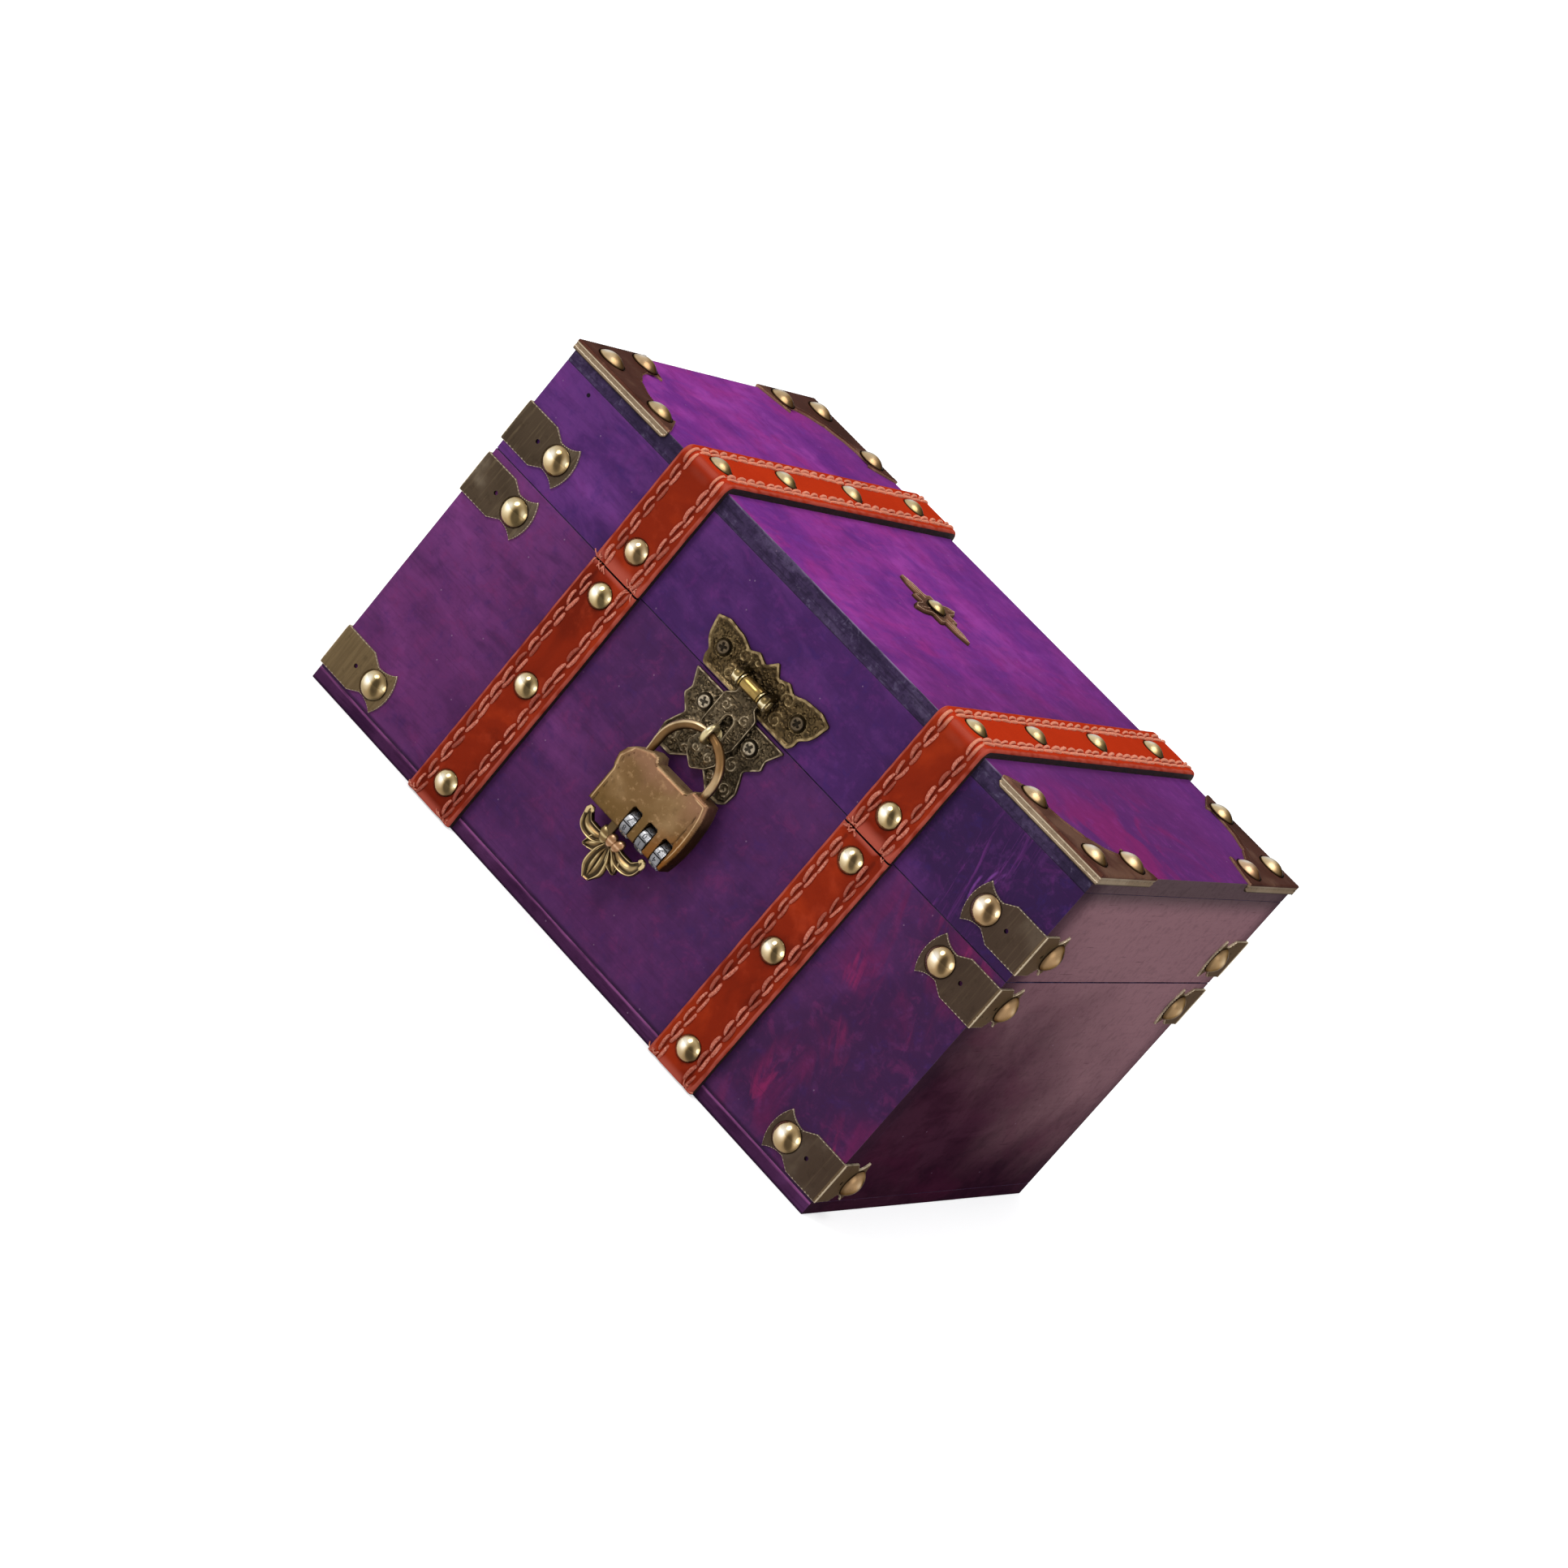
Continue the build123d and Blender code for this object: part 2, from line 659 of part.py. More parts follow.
def hinge_leaf(place, direction):
    """One leaf: direction 1 goes up the lid, -1 goes down the base."""
    edge = lid_bottom if direction > 0 else base_height
    notch_reach = hinge_knuckle_radius + end_clearance
    centres = (0,) if direction > 0 else (-knuckle_length, knuckle_length)
    others = (-knuckle_length, knuckle_length) if direction > 0 else (0,)
    with BuildPart() as leaf:
        with BuildSketch(back_seat(place, edge + direction * hinge_leaf_height / 2)):
            Rectangle(hinge_width, hinge_leaf_height)
        extrude(amount=hinge_sheet)
        for centre in others:
            width = knuckle_length + 2 * end_clearance
            height = notch_reach + abs(seam_height - edge)
            with BuildSketch(back_seat(place + centre, edge)):
                Rectangle(width, 2 * height)
            extrude(amount=hinge_sheet, mode=Mode.SUBTRACT)
        for centre in centres:
            start = place + centre - knuckle_length / 2 + end_clearance / 2
            with BuildSketch(Plane.YZ.offset(start)):
                with Locations((hinge_axis_depth, seam_height)):
                    Circle(hinge_knuckle_radius)
                web_edge = Align.MIN if direction > 0 else Align.MAX
                with Locations((half_depth, edge)):
                    Rectangle(
                        hinge_axis_proud,
                        hinge_knuckle_radius,
                        align=(Align.MIN, web_edge),
                    )
                with Locations((hinge_axis_depth, seam_height)):
                    Circle(hinge_pin_radius + pivot_clearance, mode=Mode.SUBTRACT)
            extrude(amount=knuckle_length - end_clearance)
        drill(hinge_screw_seats(place, direction, hinge_sheet), screw_hole_radius, hinge_sheet)
    return leaf


for side, side_name in side_names.items():
    save(hinge_leaf(side * hinge_place, -1), f"hinge_base_leaf_{side_name}")
    save(hinge_leaf(side * hinge_place, 1), f"hinge_lid_leaf_{side_name}")

with BuildPart() as hinge_pins:
    for side in sides:
        with BuildSketch(Plane.YZ.offset(side * hinge_place - hinge_width / 2)):
            with Locations((hinge_axis_depth, seam_height)):
                Circle(hinge_pin_radius)
        extrude(amount=hinge_width)
        for place, direction in ((-hinge_width / 2, -1), (hinge_width / 2, 1)):
            with BuildSketch(Plane.YZ.offset(side * hinge_place + place)):
                with Locations((hinge_axis_depth, seam_height)):
                    Circle(hinge_pin_head_radius)
            extrude(amount=direction * hinge_pin_head_height)
save(hinge_pins, "hinge_pins")

hinge_screw = pan_screw(hinge_sheet)
base_hinge_heads = []
lid_hinge_heads = []
for side in sides:
    base_hinge_heads += hinge_screw_seats(side * hinge_place, -1, hinge_sheet)
    lid_hinge_heads += hinge_screw_seats(side * hinge_place, 1, hinge_sheet)
save(fasteners(hinge_screw, base_hinge_heads), "hinge_base_screws")
save(fasteners(hinge_screw, lid_hinge_heads), "hinge_lid_screws")

# Butterfly hasp: upper plate with two ears, lower plate, tongue, pin and staple ring
upper_points = mirrored_points(hasp_upper_shares, hasp_upper_half_width, hasp_upper_height)
lower_points = mirrored_points(hasp_lower_shares, hasp_lower_half_width, -hasp_lower_height)
ear_start = hasp_sleeve_length / 2 + end_clearance
barrel_axis_depth = -half_depth - hasp_barrel_proud

with BuildPart() as hasp_upper_plate:
    with BuildSketch(front_seat(0, hasp_upper_bottom)):
        Polygon(*upper_points, align=None)
    extrude(amount=hasp_sheet)
    for side in sides:
        with BuildSketch(Plane.YZ.offset(side * ear_start)):
            with Locations((barrel_axis_depth, hasp_axis_height)):
                Circle(hasp_ear_radius)
            with Locations((-half_depth, hasp_axis_height)):
                Rectangle(hasp_barrel_proud, 2 * hasp_ear_radius, align=(Align.MAX, Align.CENTER))
            with Locations((barrel_axis_depth, hasp_axis_height)):
                Circle(hasp_pin_radius + pivot_clearance, mode=Mode.SUBTRACT)
        extrude(amount=side * hasp_ear_length)
    drill(hasp_screw_seats(hasp_upper_bottom, upper_screw_place, hasp_sheet), screw_hole_radius, hasp_sheet)
save(hasp_upper_plate, "hasp_upper_plate")

with BuildPart() as hasp_lower_plate:
    with BuildSketch(front_seat(0, hasp_lower_top)):
        Polygon(*lower_points, align=None)
    extrude(amount=hasp_sheet)
    drill(hasp_screw_seats(hasp_lower_top, lower_screw_place, hasp_sheet), screw_hole_radius, hasp_sheet)
save(hasp_lower_plate, "hasp_lower_plate")

neck_half_width = hasp_sleeve_length / 2
tongue_points = [(0, 0), (neck_half_width, 0)]
tongue_points += [(tongue_half_width * u, -tongue_length * v) for u, v in tongue_outline_shares]
tongue_points += [(-u, v) for u, v in reversed(tongue_points[1:-1])]
slot_length = tongue_slot_bottom - tongue_slot_top
with BuildPart() as hasp_tongue:
    with BuildSketch(front_seat(0, hasp_axis_height, tongue_back)):
        Polygon(*tongue_points, align=None)
        with Locations((0, -(tongue_slot_top + tongue_slot_bottom) / 2)):
            SlotOverall(slot_length, tongue_slot_width, rotation=90, mode=Mode.SUBTRACT)
    extrude(amount=hasp_sheet)
    with BuildSketch(Plane.YZ.offset(-hasp_sleeve_length / 2)):
        with Locations((barrel_axis_depth, hasp_axis_height)):
            Circle(hasp_sleeve_radius)
    extrude(amount=hasp_sleeve_length)
    with BuildSketch(Plane.YZ.offset(-hasp_sleeve_length / 2)):
        with Locations((barrel_axis_depth, hasp_axis_height)):
            Circle(hasp_pin_radius + pivot_clearance)
    extrude(amount=hasp_sleeve_length, mode=Mode.SUBTRACT)
save(hasp_tongue, "hasp_tongue")

pin_reach = ear_start + hasp_ear_length
with BuildPart() as hasp_pin:
    with BuildSketch(Plane.YZ.offset(-pin_reach)):
        with Locations((barrel_axis_depth, hasp_axis_height)):
            Circle(hasp_pin_radius)
    extrude(amount=2 * pin_reach)
    for side in sides:
        with BuildSketch(Plane.YZ.offset(side * pin_reach)):
            with Locations((barrel_axis_depth, hasp_axis_height)):
                Circle(hasp_pin_head_radius)
        extrude(amount=side * hasp_pin_head_height)
save(hasp_pin, "hasp_pin")

stem_length = ring_proud - ring_radius - ring_stem_drop
ring_centre = (0, -half_depth - ring_proud, ring_height)
with BuildPart() as hasp_staple_ring:
    with Locations(Plane(origin=ring_centre, x_dir=(0, 1, 0), z_dir=(1, 0, 0))):
        Torus(ring_radius, ring_wire_radius)
    with BuildSketch(front_seat(0, ring_height, ring_stem_drop)):
        Circle(ring_stem_radius)
    extrude(amount=stem_length)
    with BuildSketch(front_seat(0, ring_height, tongue_front)):
        Circle(ring_collar_radius)
    extrude(amount=ring_collar_height)
save(hasp_staple_ring, "hasp_staple_ring")

hasp_screw = pan_screw(hasp_sheet)
upper_heads = hasp_screw_seats(hasp_upper_bottom, upper_screw_place, hasp_sheet)
lower_heads = hasp_screw_seats(hasp_lower_top, lower_screw_place, hasp_sheet)
save(fasteners(hasp_screw, upper_heads), "hasp_upper_screws")
save(fasteners(hasp_screw, lower_heads), "hasp_lower_screws")

# Padlock: case, shackle, dials on their axle, and the fleur under it
lock_plane = front_seat(0, 0, ring_proud)
lock_back_plane = front_seat(0, 0, ring_proud - lock_thickness / 2)
dial_places = [index * dial_pitch for index in range(dial_count)]
dial_axis_y = -half_depth - ring_proud
leg_clearance_radius = shackle_wire_radius + pivot_clearance


def lock_point(share):
    """A point of the padlock's outline from its shares of the half width and height."""
    return (lock_half_width * share[0], lock_bottom + lock_height * share[1])


lock_edge = [lock_point(share) for share in lock_left_shares + lock_right_shares]
lock_belly = lock_point(lock_belly_share)
lock_foot = lock_point(lock_foot_share)

with BuildPart() as lock_case:
    with BuildSketch(lock_back_plane):
        with BuildLine():
            Polyline(lock_foot, *lock_edge)
            ThreePointArc(lock_edge[-1], lock_belly, lock_foot)
        make_face()
    extrude(amount=lock_thickness)
    chamfer(lock_case.faces().filter_by(Axis.Y).edges(), lock_bevel)
    for place in dial_places:
        with BuildSketch(Plane.YZ.offset(place - dial_width / 2 - dial_clearance)):
            with Locations((dial_axis_y, dial_axis_height)):
                Circle(dial_radius + dial_clearance)
        extrude(amount=dial_width + 2 * dial_clearance, mode=Mode.SUBTRACT)
    with BuildSketch(Plane.YZ.offset(-axle_reach - dial_width / 2)):
        with Locations((dial_axis_y, dial_axis_height)):
            Circle(axle_radius + pivot_clearance)
    extrude(amount=dial_places[-1] + dial_width + 2 * axle_reach - dial_clearance, mode=Mode.SUBTRACT)
    for side, leg in ((1, shackle_long_leg), (-1, shackle_short_leg)):
        with BuildSketch(Plane.XY.offset(lock_shoulder)):
            with Locations((side * shackle_half_span, dial_axis_y)):
                Circle(leg_clearance_radius)
        extrude(amount=-leg - end_clearance, mode=Mode.SUBTRACT)
save(lock_case, "lock_case")

with BuildPart() as lock_shackle:
    with BuildLine(lock_plane) as bow:
        Line((shackle_half_span, lock_shoulder - shackle_long_leg), (shackle_half_span, arch_height))
        ThreePointArc(
            (shackle_half_span, arch_height),
            (0, arch_height + shackle_half_span),
            (-shackle_half_span, arch_height),
        )
        Line((-shackle_half_span, arch_height), (-shackle_half_span, lock_shoulder - shackle_short_leg))
    with BuildSketch(Plane.XY.offset(lock_shoulder - shackle_long_leg)):
        with Locations((shackle_half_span, dial_axis_y)):
            Circle(shackle_wire_radius)
    sweep(path=bow.wires()[0])
    with BuildSketch(front_seat(shackle_half_span, lock_shoulder - shackle_notch_rise, ring_proud)):
        with Locations((-shackle_wire_radius, 0)):
            Rectangle(2 * shackle_notch_depth, shackle_notch_width)
    extrude(amount=shackle_wire_radius, both=True, mode=Mode.SUBTRACT)
save(lock_shackle, "lock_shackle")

axle_length = dial_places[-1] + dial_width + 2 * axle_reach - 2 * dial_clearance
with BuildPart() as lock_axle:
    with BuildSketch(Plane.YZ.offset(-axle_reach - dial_width / 2 + dial_clearance / 2)):
        with Locations((dial_axis_y, dial_axis_height)):
            Circle(axle_radius)
    extrude(amount=axle_length)
save(lock_axle, "lock_dial_axle")

for index, place in enumerate(dial_places):
    with BuildPart() as dial:
        with BuildSketch(Plane.YZ.offset(place - dial_width / 2)):
            with Locations((dial_axis_y, dial_axis_height)):
                RegularPolygon(dial_radius, dial_facets)
                Circle(axle_radius + pivot_clearance, mode=Mode.SUBTRACT)
        extrude(amount=dial_width)
        with BuildSketch(Plane.YZ.offset(place - dial_width / 2)):
            with Locations((dial_axis_y, dial_axis_height)):
                with PolarLocations(dial_radius, dial_facets):
                    Rectangle(2 * dial_groove_depth, dial_groove_width)
        extrude(amount=dial_width, mode=Mode.SUBTRACT)
    save(dial, f"lock_dial_{index + 1}")

fleur_top = lock_bottom - fleur_gap
fleur_plane = front_seat(fleur_place, fleur_top, ring_proud - fleur_thickness / 2)
band_edge = fleur_band_height + fleur_band_spare
petals = [mirrored_points(((0.0, 0.1),) + fleur_petal_shares, fleur_half_width, -fleur_height)]
for shares in (fleur_side_shares, fleur_tip_shares):
    for side in sides:
        petals.append([(side * fleur_half_width * u, -fleur_height * v) for u, v in shares])
with BuildPart() as lock_fleur:
    with BuildSketch(fleur_plane):
        for petal in petals:
            Polygon(*petal, align=None)
        with Locations((0, -fleur_band_height / 2 - fleur_band_spare)):
            RectangleRounded(2 * fleur_band_half_width, fleur_band_height, fleur_band_height / 3)
        with Locations((fleur_stem_place - fleur_place, fleur_gap)):
            Rectangle(fleur_stem_width, fleur_gap + band_edge, align=(Align.CENTER, Align.MAX))
    extrude(amount=fleur_thickness)
save(lock_fleur, "lock_fleur")
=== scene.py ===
import json
import math
import random

import bmesh
import bpy
import numpy as np
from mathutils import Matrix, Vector, noise
from mathutils.geometry import delaunay_2d_cdt


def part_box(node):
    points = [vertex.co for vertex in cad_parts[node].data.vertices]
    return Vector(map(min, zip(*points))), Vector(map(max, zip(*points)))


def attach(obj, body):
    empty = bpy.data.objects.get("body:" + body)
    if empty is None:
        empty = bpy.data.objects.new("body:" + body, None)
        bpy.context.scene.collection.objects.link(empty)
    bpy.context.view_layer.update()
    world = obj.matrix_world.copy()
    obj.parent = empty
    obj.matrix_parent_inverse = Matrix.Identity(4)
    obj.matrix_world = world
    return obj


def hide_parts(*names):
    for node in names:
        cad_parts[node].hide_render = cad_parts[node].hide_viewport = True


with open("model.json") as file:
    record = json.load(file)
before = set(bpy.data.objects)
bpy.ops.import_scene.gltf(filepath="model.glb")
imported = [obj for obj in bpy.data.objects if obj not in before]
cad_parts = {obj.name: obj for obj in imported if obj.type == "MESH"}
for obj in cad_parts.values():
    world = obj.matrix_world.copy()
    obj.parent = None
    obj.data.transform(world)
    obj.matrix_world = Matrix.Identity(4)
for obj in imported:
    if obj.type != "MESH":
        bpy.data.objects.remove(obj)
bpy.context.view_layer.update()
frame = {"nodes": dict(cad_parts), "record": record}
rng = random.Random(11)
BODY = {node: body for body, nodes in frame["record"]["behaviour"]["bodies"].items() for node in nodes}


def corners(node):
    """A node's lowest and highest corner in millimetres."""
    return np.round(np.array(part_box(node)) * 1000, 2)


# Sizes of the chest in millimetres
W, D, FLOOR_T = corners("base_bottom_board")[1]
TOP = corners("lid_top_board")[1, 2]
SEAM = 90.5
SEAM_HALF = 0.08
BASE_TOP, LID_BOTTOM = SEAM - SEAM_HALF, SEAM + SEAM_HALF
SIDES = (-1, 1)
CORNERS = [(side, e) for side in SIDES for e in SIDES]


def colour(r, g, b):
    """A colour written as 0 to 255 display values."""
    def line(v):
        v /= 255
        return v / 12.92 if v <= 0.04045 else ((v + 0.055) / 1.055) ** 2.4
    return (line(r), line(g), line(b), 1.0)


# Places
class Place:
    """A flat place on the chest: its origin, two directions in it and the one that looks out."""

    def __init__(self, origin, ex, ey, ez=None):
        self.o, self.ex, self.ey = (np.array(v, float) for v in (origin, ex, ey))
        self.ez = np.cross(ex, ey) if ez is None else np.array(ez, float)
        self.mirrored = np.cross(ex, ey) @ self.ez < 0

    def world(self, pts):
        return self.o + np.asarray(pts, float).reshape(-1, 3) @ np.array((self.ex, self.ey, self.ez))


def front(x, z, out=0.0):
    return Place((x, -D - out, z), (1, 0, 0), (0, 0, 1))


def back(x, z, out=0.0):
    return Place((x, D + out, z), (-1, 0, 0), (0, 0, 1))


def end(side, y, z, out=0.0):
    return Place((side * (W + out), y, z), (0, side, 0), (0, 0, 1))


def top(x, y, out=0.0):
    return Place((x, y, TOP + out), (1, 0, 0), (0, 1, 0))


# Mesh code
def add_piece(name, mesh, node, stands_in=True):
    """A piece that rides where its node does, and stands for it unless told otherwise."""
    piece = bpy.data.objects.new(name, mesh)
    bpy.context.scene.collection.objects.link(piece)
    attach(piece, BODY[node])
    if stands_in:
        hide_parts(node)


class Shape:
    """Points and faces gathered from several forms, with a relief and a tint value on each point."""

    def __init__(self):
        self.points, self.faces, self.finishes = [], [], []
        self.values = {"relief": [], "tint": []}
        self.count = 0

    def add(self, pts, faces, relief=1.0, mat=0, flip=False, tint=0.0):
        pts = np.asarray(pts, float).reshape(-1, 3)
        self.points.append(pts)
        self.values["relief"].append(np.broadcast_to(relief, len(pts)))
        self.values["tint"].append(np.broadcast_to(tint, len(pts)))
        self.faces += [[i + self.count for i in face][::-1 if flip else 1] for face in faces]
        self.finishes += mat if isinstance(mat, list) else [mat] * len(faces)
        self.count += len(pts)

    def make(self, name, node, materials, sharp, stands_in=True):
        mesh = bpy.data.meshes.new(name)
        mesh.from_pydata((np.concatenate(self.points) / 1000).tolist(), [], self.faces)
        for word, values in self.values.items():
            mesh.attributes.new(word, "FLOAT", "POINT").data.foreach_set("value", np.concatenate(values))
        for material in materials:
            mesh.materials.append(material)
        mesh.polygons.foreach_set("material_index", self.finishes)
        mesh.polygons.foreach_set("use_smooth", [True] * len(mesh.polygons))
        mesh.set_sharp_from_angle(angle=math.radians(sharp))
        mesh.update()
        add_piece(name, mesh, node, stands_in)


def around(n):
    """n equal steps of a full turn."""
    return [2 * math.pi * k / n for k in range(n)]


def bell(x, width):
    """1 at zero, falling off smoothly over that width."""
    return np.exp(-(x / width) ** 2)


def wave(p, scale, shift, layer):
    """Smooth noise at each point of a flat form."""
    return np.array([noise.noise(Vector((u * scale + shift, v * scale, layer))) for u, v in p])


def pairs(loop):
    """The edges of a closed outline."""
    return list(zip(loop, loop[1:] + loop[:1]))


def runs(line):
    """The edges of an open line."""
    return list(zip(line, line[1:]))


def resample(loop, step):
    """A closed outline with extra points, so that none are further apart than step."""
    out = []
    for a, b in pairs(loop):
        a, b = np.array(a, float), np.array(b, float)
        n = max(1, math.ceil(np.linalg.norm(b - a) / step))
        out += [tuple(a + (b - a) * k / n) for k in range(n)]
    return out


def cut_corners(loop, share):
    """Rounds an outline's points a little."""
    out = []
    for a, b in pairs(loop):
        a, b = np.array(a), np.array(b)
        out += [tuple(a * (1 - share) + b * share), tuple(a * share + b * (1 - share))]
    return out


def distance(p, segments):
    """The distance of each point to the nearest of the segments."""
    best = np.full(len(p), 1e9)
    for a, b in segments:
        a, b = np.array(a, float), np.array(b, float)
        d = b - a
        t = np.clip(((p - a) @ d) / max(d @ d, 1e-12), 0, 1)
        best = np.minimum(best, np.linalg.norm(p - a - t[:, None] * d, axis=1))
    return best


def inside(p, loops):
    """Which points lie inside the first outline and outside the others."""
    ok = np.ones(len(p), bool)
    for n, loop in enumerate(loops):
        within = np.zeros(len(p), bool)
        for (xa, ya), (xb, yb) in pairs(loop):
            if ya != yb:
                hit = (ya > p[:, 1]) != (yb > p[:, 1])
                within ^= hit & (p[:, 0] < (xb - xa) * (p[:, 1] - ya) / (yb - ya) + xa)
        ok &= ~within if n else within
    return ok


def net(loops, step, rings):
    """A dense triangle net over outlines, with rows of points beside their edges at the rings' distances."""
    loops = [resample(loop, step) for loop in loops]
    verts, edges = [], []
    for loop in loops:
        start = len(verts)
        verts += loop
        edges += [(start + i, start + (i + 1) % len(loop)) for i in range(len(loop))]
    segments = [s for loop in loops for s in pairs(loop)]
    rows = []
    for offset in rings:
        for a, b in segments:
            a, b = np.array(a), np.array(b)
            d = (b - a) / max(np.linalg.norm(b - a), 1e-9)
            rows += [(a + b) / 2 + sign * offset * np.array((d[1], -d[0])) for sign in SIDES]
    picker = random.Random(5)
    (x0, y), (x1, y1) = np.min(loops[0], axis=0), np.max(loops[0], axis=0)
    grid = []
    while y < y1:
        x = x0
        while x < x1:
            grid.append((x + picker.uniform(-0.2, 0.2) * step, y + picker.uniform(-0.2, 0.2) * step))
            x += step
        y += step
    for spots, least in ((rows, 0.8 * rings[0]), (grid, rings[-1] + 0.3 * step)):
        p = np.array(spots, float)
        p = p[inside(p, loops)]
        verts += [tuple(q) for q in p[distance(p, segments) > least]]
    found, _, faces, _, _, _ = delaunay_2d_cdt([Vector(v) for v in verts], edges, [], 0, 1e-5)
    p = np.array([tuple(v) for v in found])
    tri = np.array([f for f in faces if len(f) == 3])
    tri = tri[inside(p[tri].mean(1), loops)]
    a, b, c = p[tri[:, 0]], p[tri[:, 1]], p[tri[:, 2]]
    area = (b[:, 0] - a[:, 0]) * (c[:, 1] - a[:, 1]) - (b[:, 1] - a[:, 1]) * (c[:, 0] - a[:, 0])
    tri[area < 0] = tri[area < 0][:, ::-1]
    return p, tri[np.abs(area) > 1e-7]


def plate(shape, place, loops, height, shade, step, rings, both=False, mat=0):
    """A stamped or cast sheet: height gives its surface over the outline, and both mirrors it on its back."""
    p, tri = net(loops, step, rings)
    edges = dict.fromkeys((t[i], t[(i + 1) % 3]) for t in tri for i in range(3))
    h = height(p)
    n = len(p)
    pts = np.concatenate([np.c_[p, h], np.c_[p, -h if both else np.zeros(n)]])
    faces = [tuple(t) for t in tri] + [tuple(t[::-1] + n) for t in tri]
    faces += [(i, i + n, j + n, j) for i, j in edges if (j, i) not in edges]
    shape.add(place.world(pts), faces, np.tile(shade(p, h), 2), mat, place.mirrored)


def rounded(d, radius, high):
    """A height that falls off in a quarter round of that radius towards an edge."""
    t = np.clip(1 - d / radius, 0, 1)
    return high - 0.9 * radius * (1 - np.sqrt(1 - t ** 2))


def skin(rows, columns, ring=True, loop=False, caps=False):
    """Faces between rows of points: ring closes each row, loop joins the last row to the first."""
    faces = []
    for k in range(rows if loop else rows - 1):
        a, b = k * columns, (k + 1) % rows * columns
        for i in range(columns if ring else columns - 1):
            j = (i + 1) % columns
            faces.append((a + i, a + j, b + j, b + i))
    if caps:
        last = (rows - 1) * columns
        faces += [tuple(range(columns))[::-1], tuple(range(last, last + columns))]
    return faces


def lathe(shape, origin, axis, across, profile, turns=32, relief=1.0, mat=0, dents=0.0, seed=0, tint=0.0):
    """A turned form: profile has (radius, distance along the axis). dents lower its upper part unevenly."""
    axis, ex = np.array(axis, float), np.array(across, float)
    ey = np.cross(axis, ex)
    pts = []
    for r, z in profile:
        for a in around(turns):
            q = np.array(origin) + axis * z + r * (math.cos(a) * ex + math.sin(a) * ey)
            w = noise.noise(Vector(q * 0.45) + Vector((seed, seed * 0.7, 0)))
            pts.append(q - axis * dents * abs(w) * (z > 0.5))
    shape.add(pts, skin(len(profile), turns, caps=True), relief, mat, tint=tint)


def tube(shape, path, radius, sides, relief=1.0, closed=False, tint=0.0):
    """A round bar with rounded ends. radius may be a list, and relief a function of directions."""
    path = np.array(path, float)
    n = len(path)
    before, after = np.arange(n) - 1, np.arange(n) + 1
    if closed:
        along = path[after % n] - path[before]
    else:
        along = path[np.minimum(after, n - 1)] - path[np.maximum(before, 0)]
    along /= np.linalg.norm(along, axis=1, keepdims=True)
    rows = list(zip(path, along, np.broadcast_to(radius, n)))
    if not closed:
        for where, sign in ((0, -1), (-1, 1)):
            c, d, r = rows[where]
            tip = [(c + sign * d * r * reach, d, r * share) for reach, share in ((0.6, 0.75), (0.95, 0.25))]
            rows = tip[::-1] + rows if sign < 0 else rows + tip
    up = np.array((0.3, 0.5, 0.81))
    pts, directions = [], []
    for c, d, r in rows:
        side = np.cross(d, up)
        side /= np.linalg.norm(side)
        up = np.cross(side, d)
        for a in around(sides):
            directions.append(math.cos(a) * side + math.sin(a) * up)
            pts.append(c + r * directions[-1])
    relief = relief(np.array(directions)) if callable(relief) else relief
    shape.add(pts, skin(len(rows), sides, loop=closed, caps=not closed), relief, tint=tint)


# Materials
class Field:
    """A value or colour that varies over a surface. Sums, products and its calls add nodes to its paint."""

    def __init__(self, paint, socket):
        self.paint, self.socket = paint, socket

    def __add__(self, other):
        return self.paint.math("ADD", self, other)

    def __sub__(self, other):
        return self.paint.math("SUBTRACT", self, other)

    def __rsub__(self, other):
        return self.paint.math("SUBTRACT", other, self)

    def __mul__(self, other):
        return self.paint.math("MULTIPLY", self, other)

    def __abs__(self):
        return self.paint.math("ABSOLUTE", self, 0.0)

    def span(self, low, high, most=1.0, least=0.0):
        """least at low, most at high and smooth between them."""
        ends = {"Value": self, "From Min": low, "From Max": high, "To Min": least, "To Max": most}
        return self.paint.node("ShaderNodeMapRange", ends, interpolation_type="SMOOTHSTEP")

    def ramp(self, stops, smooth=False):
        field = self.paint.node("ShaderNodeValToRGB", {"Fac": self})
        ramp = field.socket.node.color_ramp
        ramp.interpolation = "EASE" if smooth else "LINEAR"
        while len(ramp.elements) < len(stops):
            ramp.elements.new(0.5)
        for element, (place, tone) in zip(ramp.elements, stops):
            element.position = place
            element.color = tone if len(tone) == 4 else colour(*tone)
        return field

    def mix(self, share, tone):
        """Another colour over this one, as far as share says."""
        return self.paint.node("ShaderNodeMix", {0: share, 6: self, 7: tone}, 2, data_type="RGBA")

    def bump(self, strength, depth, under=None):
        inputs = {"Height": self, "Strength": strength, "Distance": depth}
        return self.paint.node("ShaderNodeBump", inputs | ({"Normal": under} if under else {}))


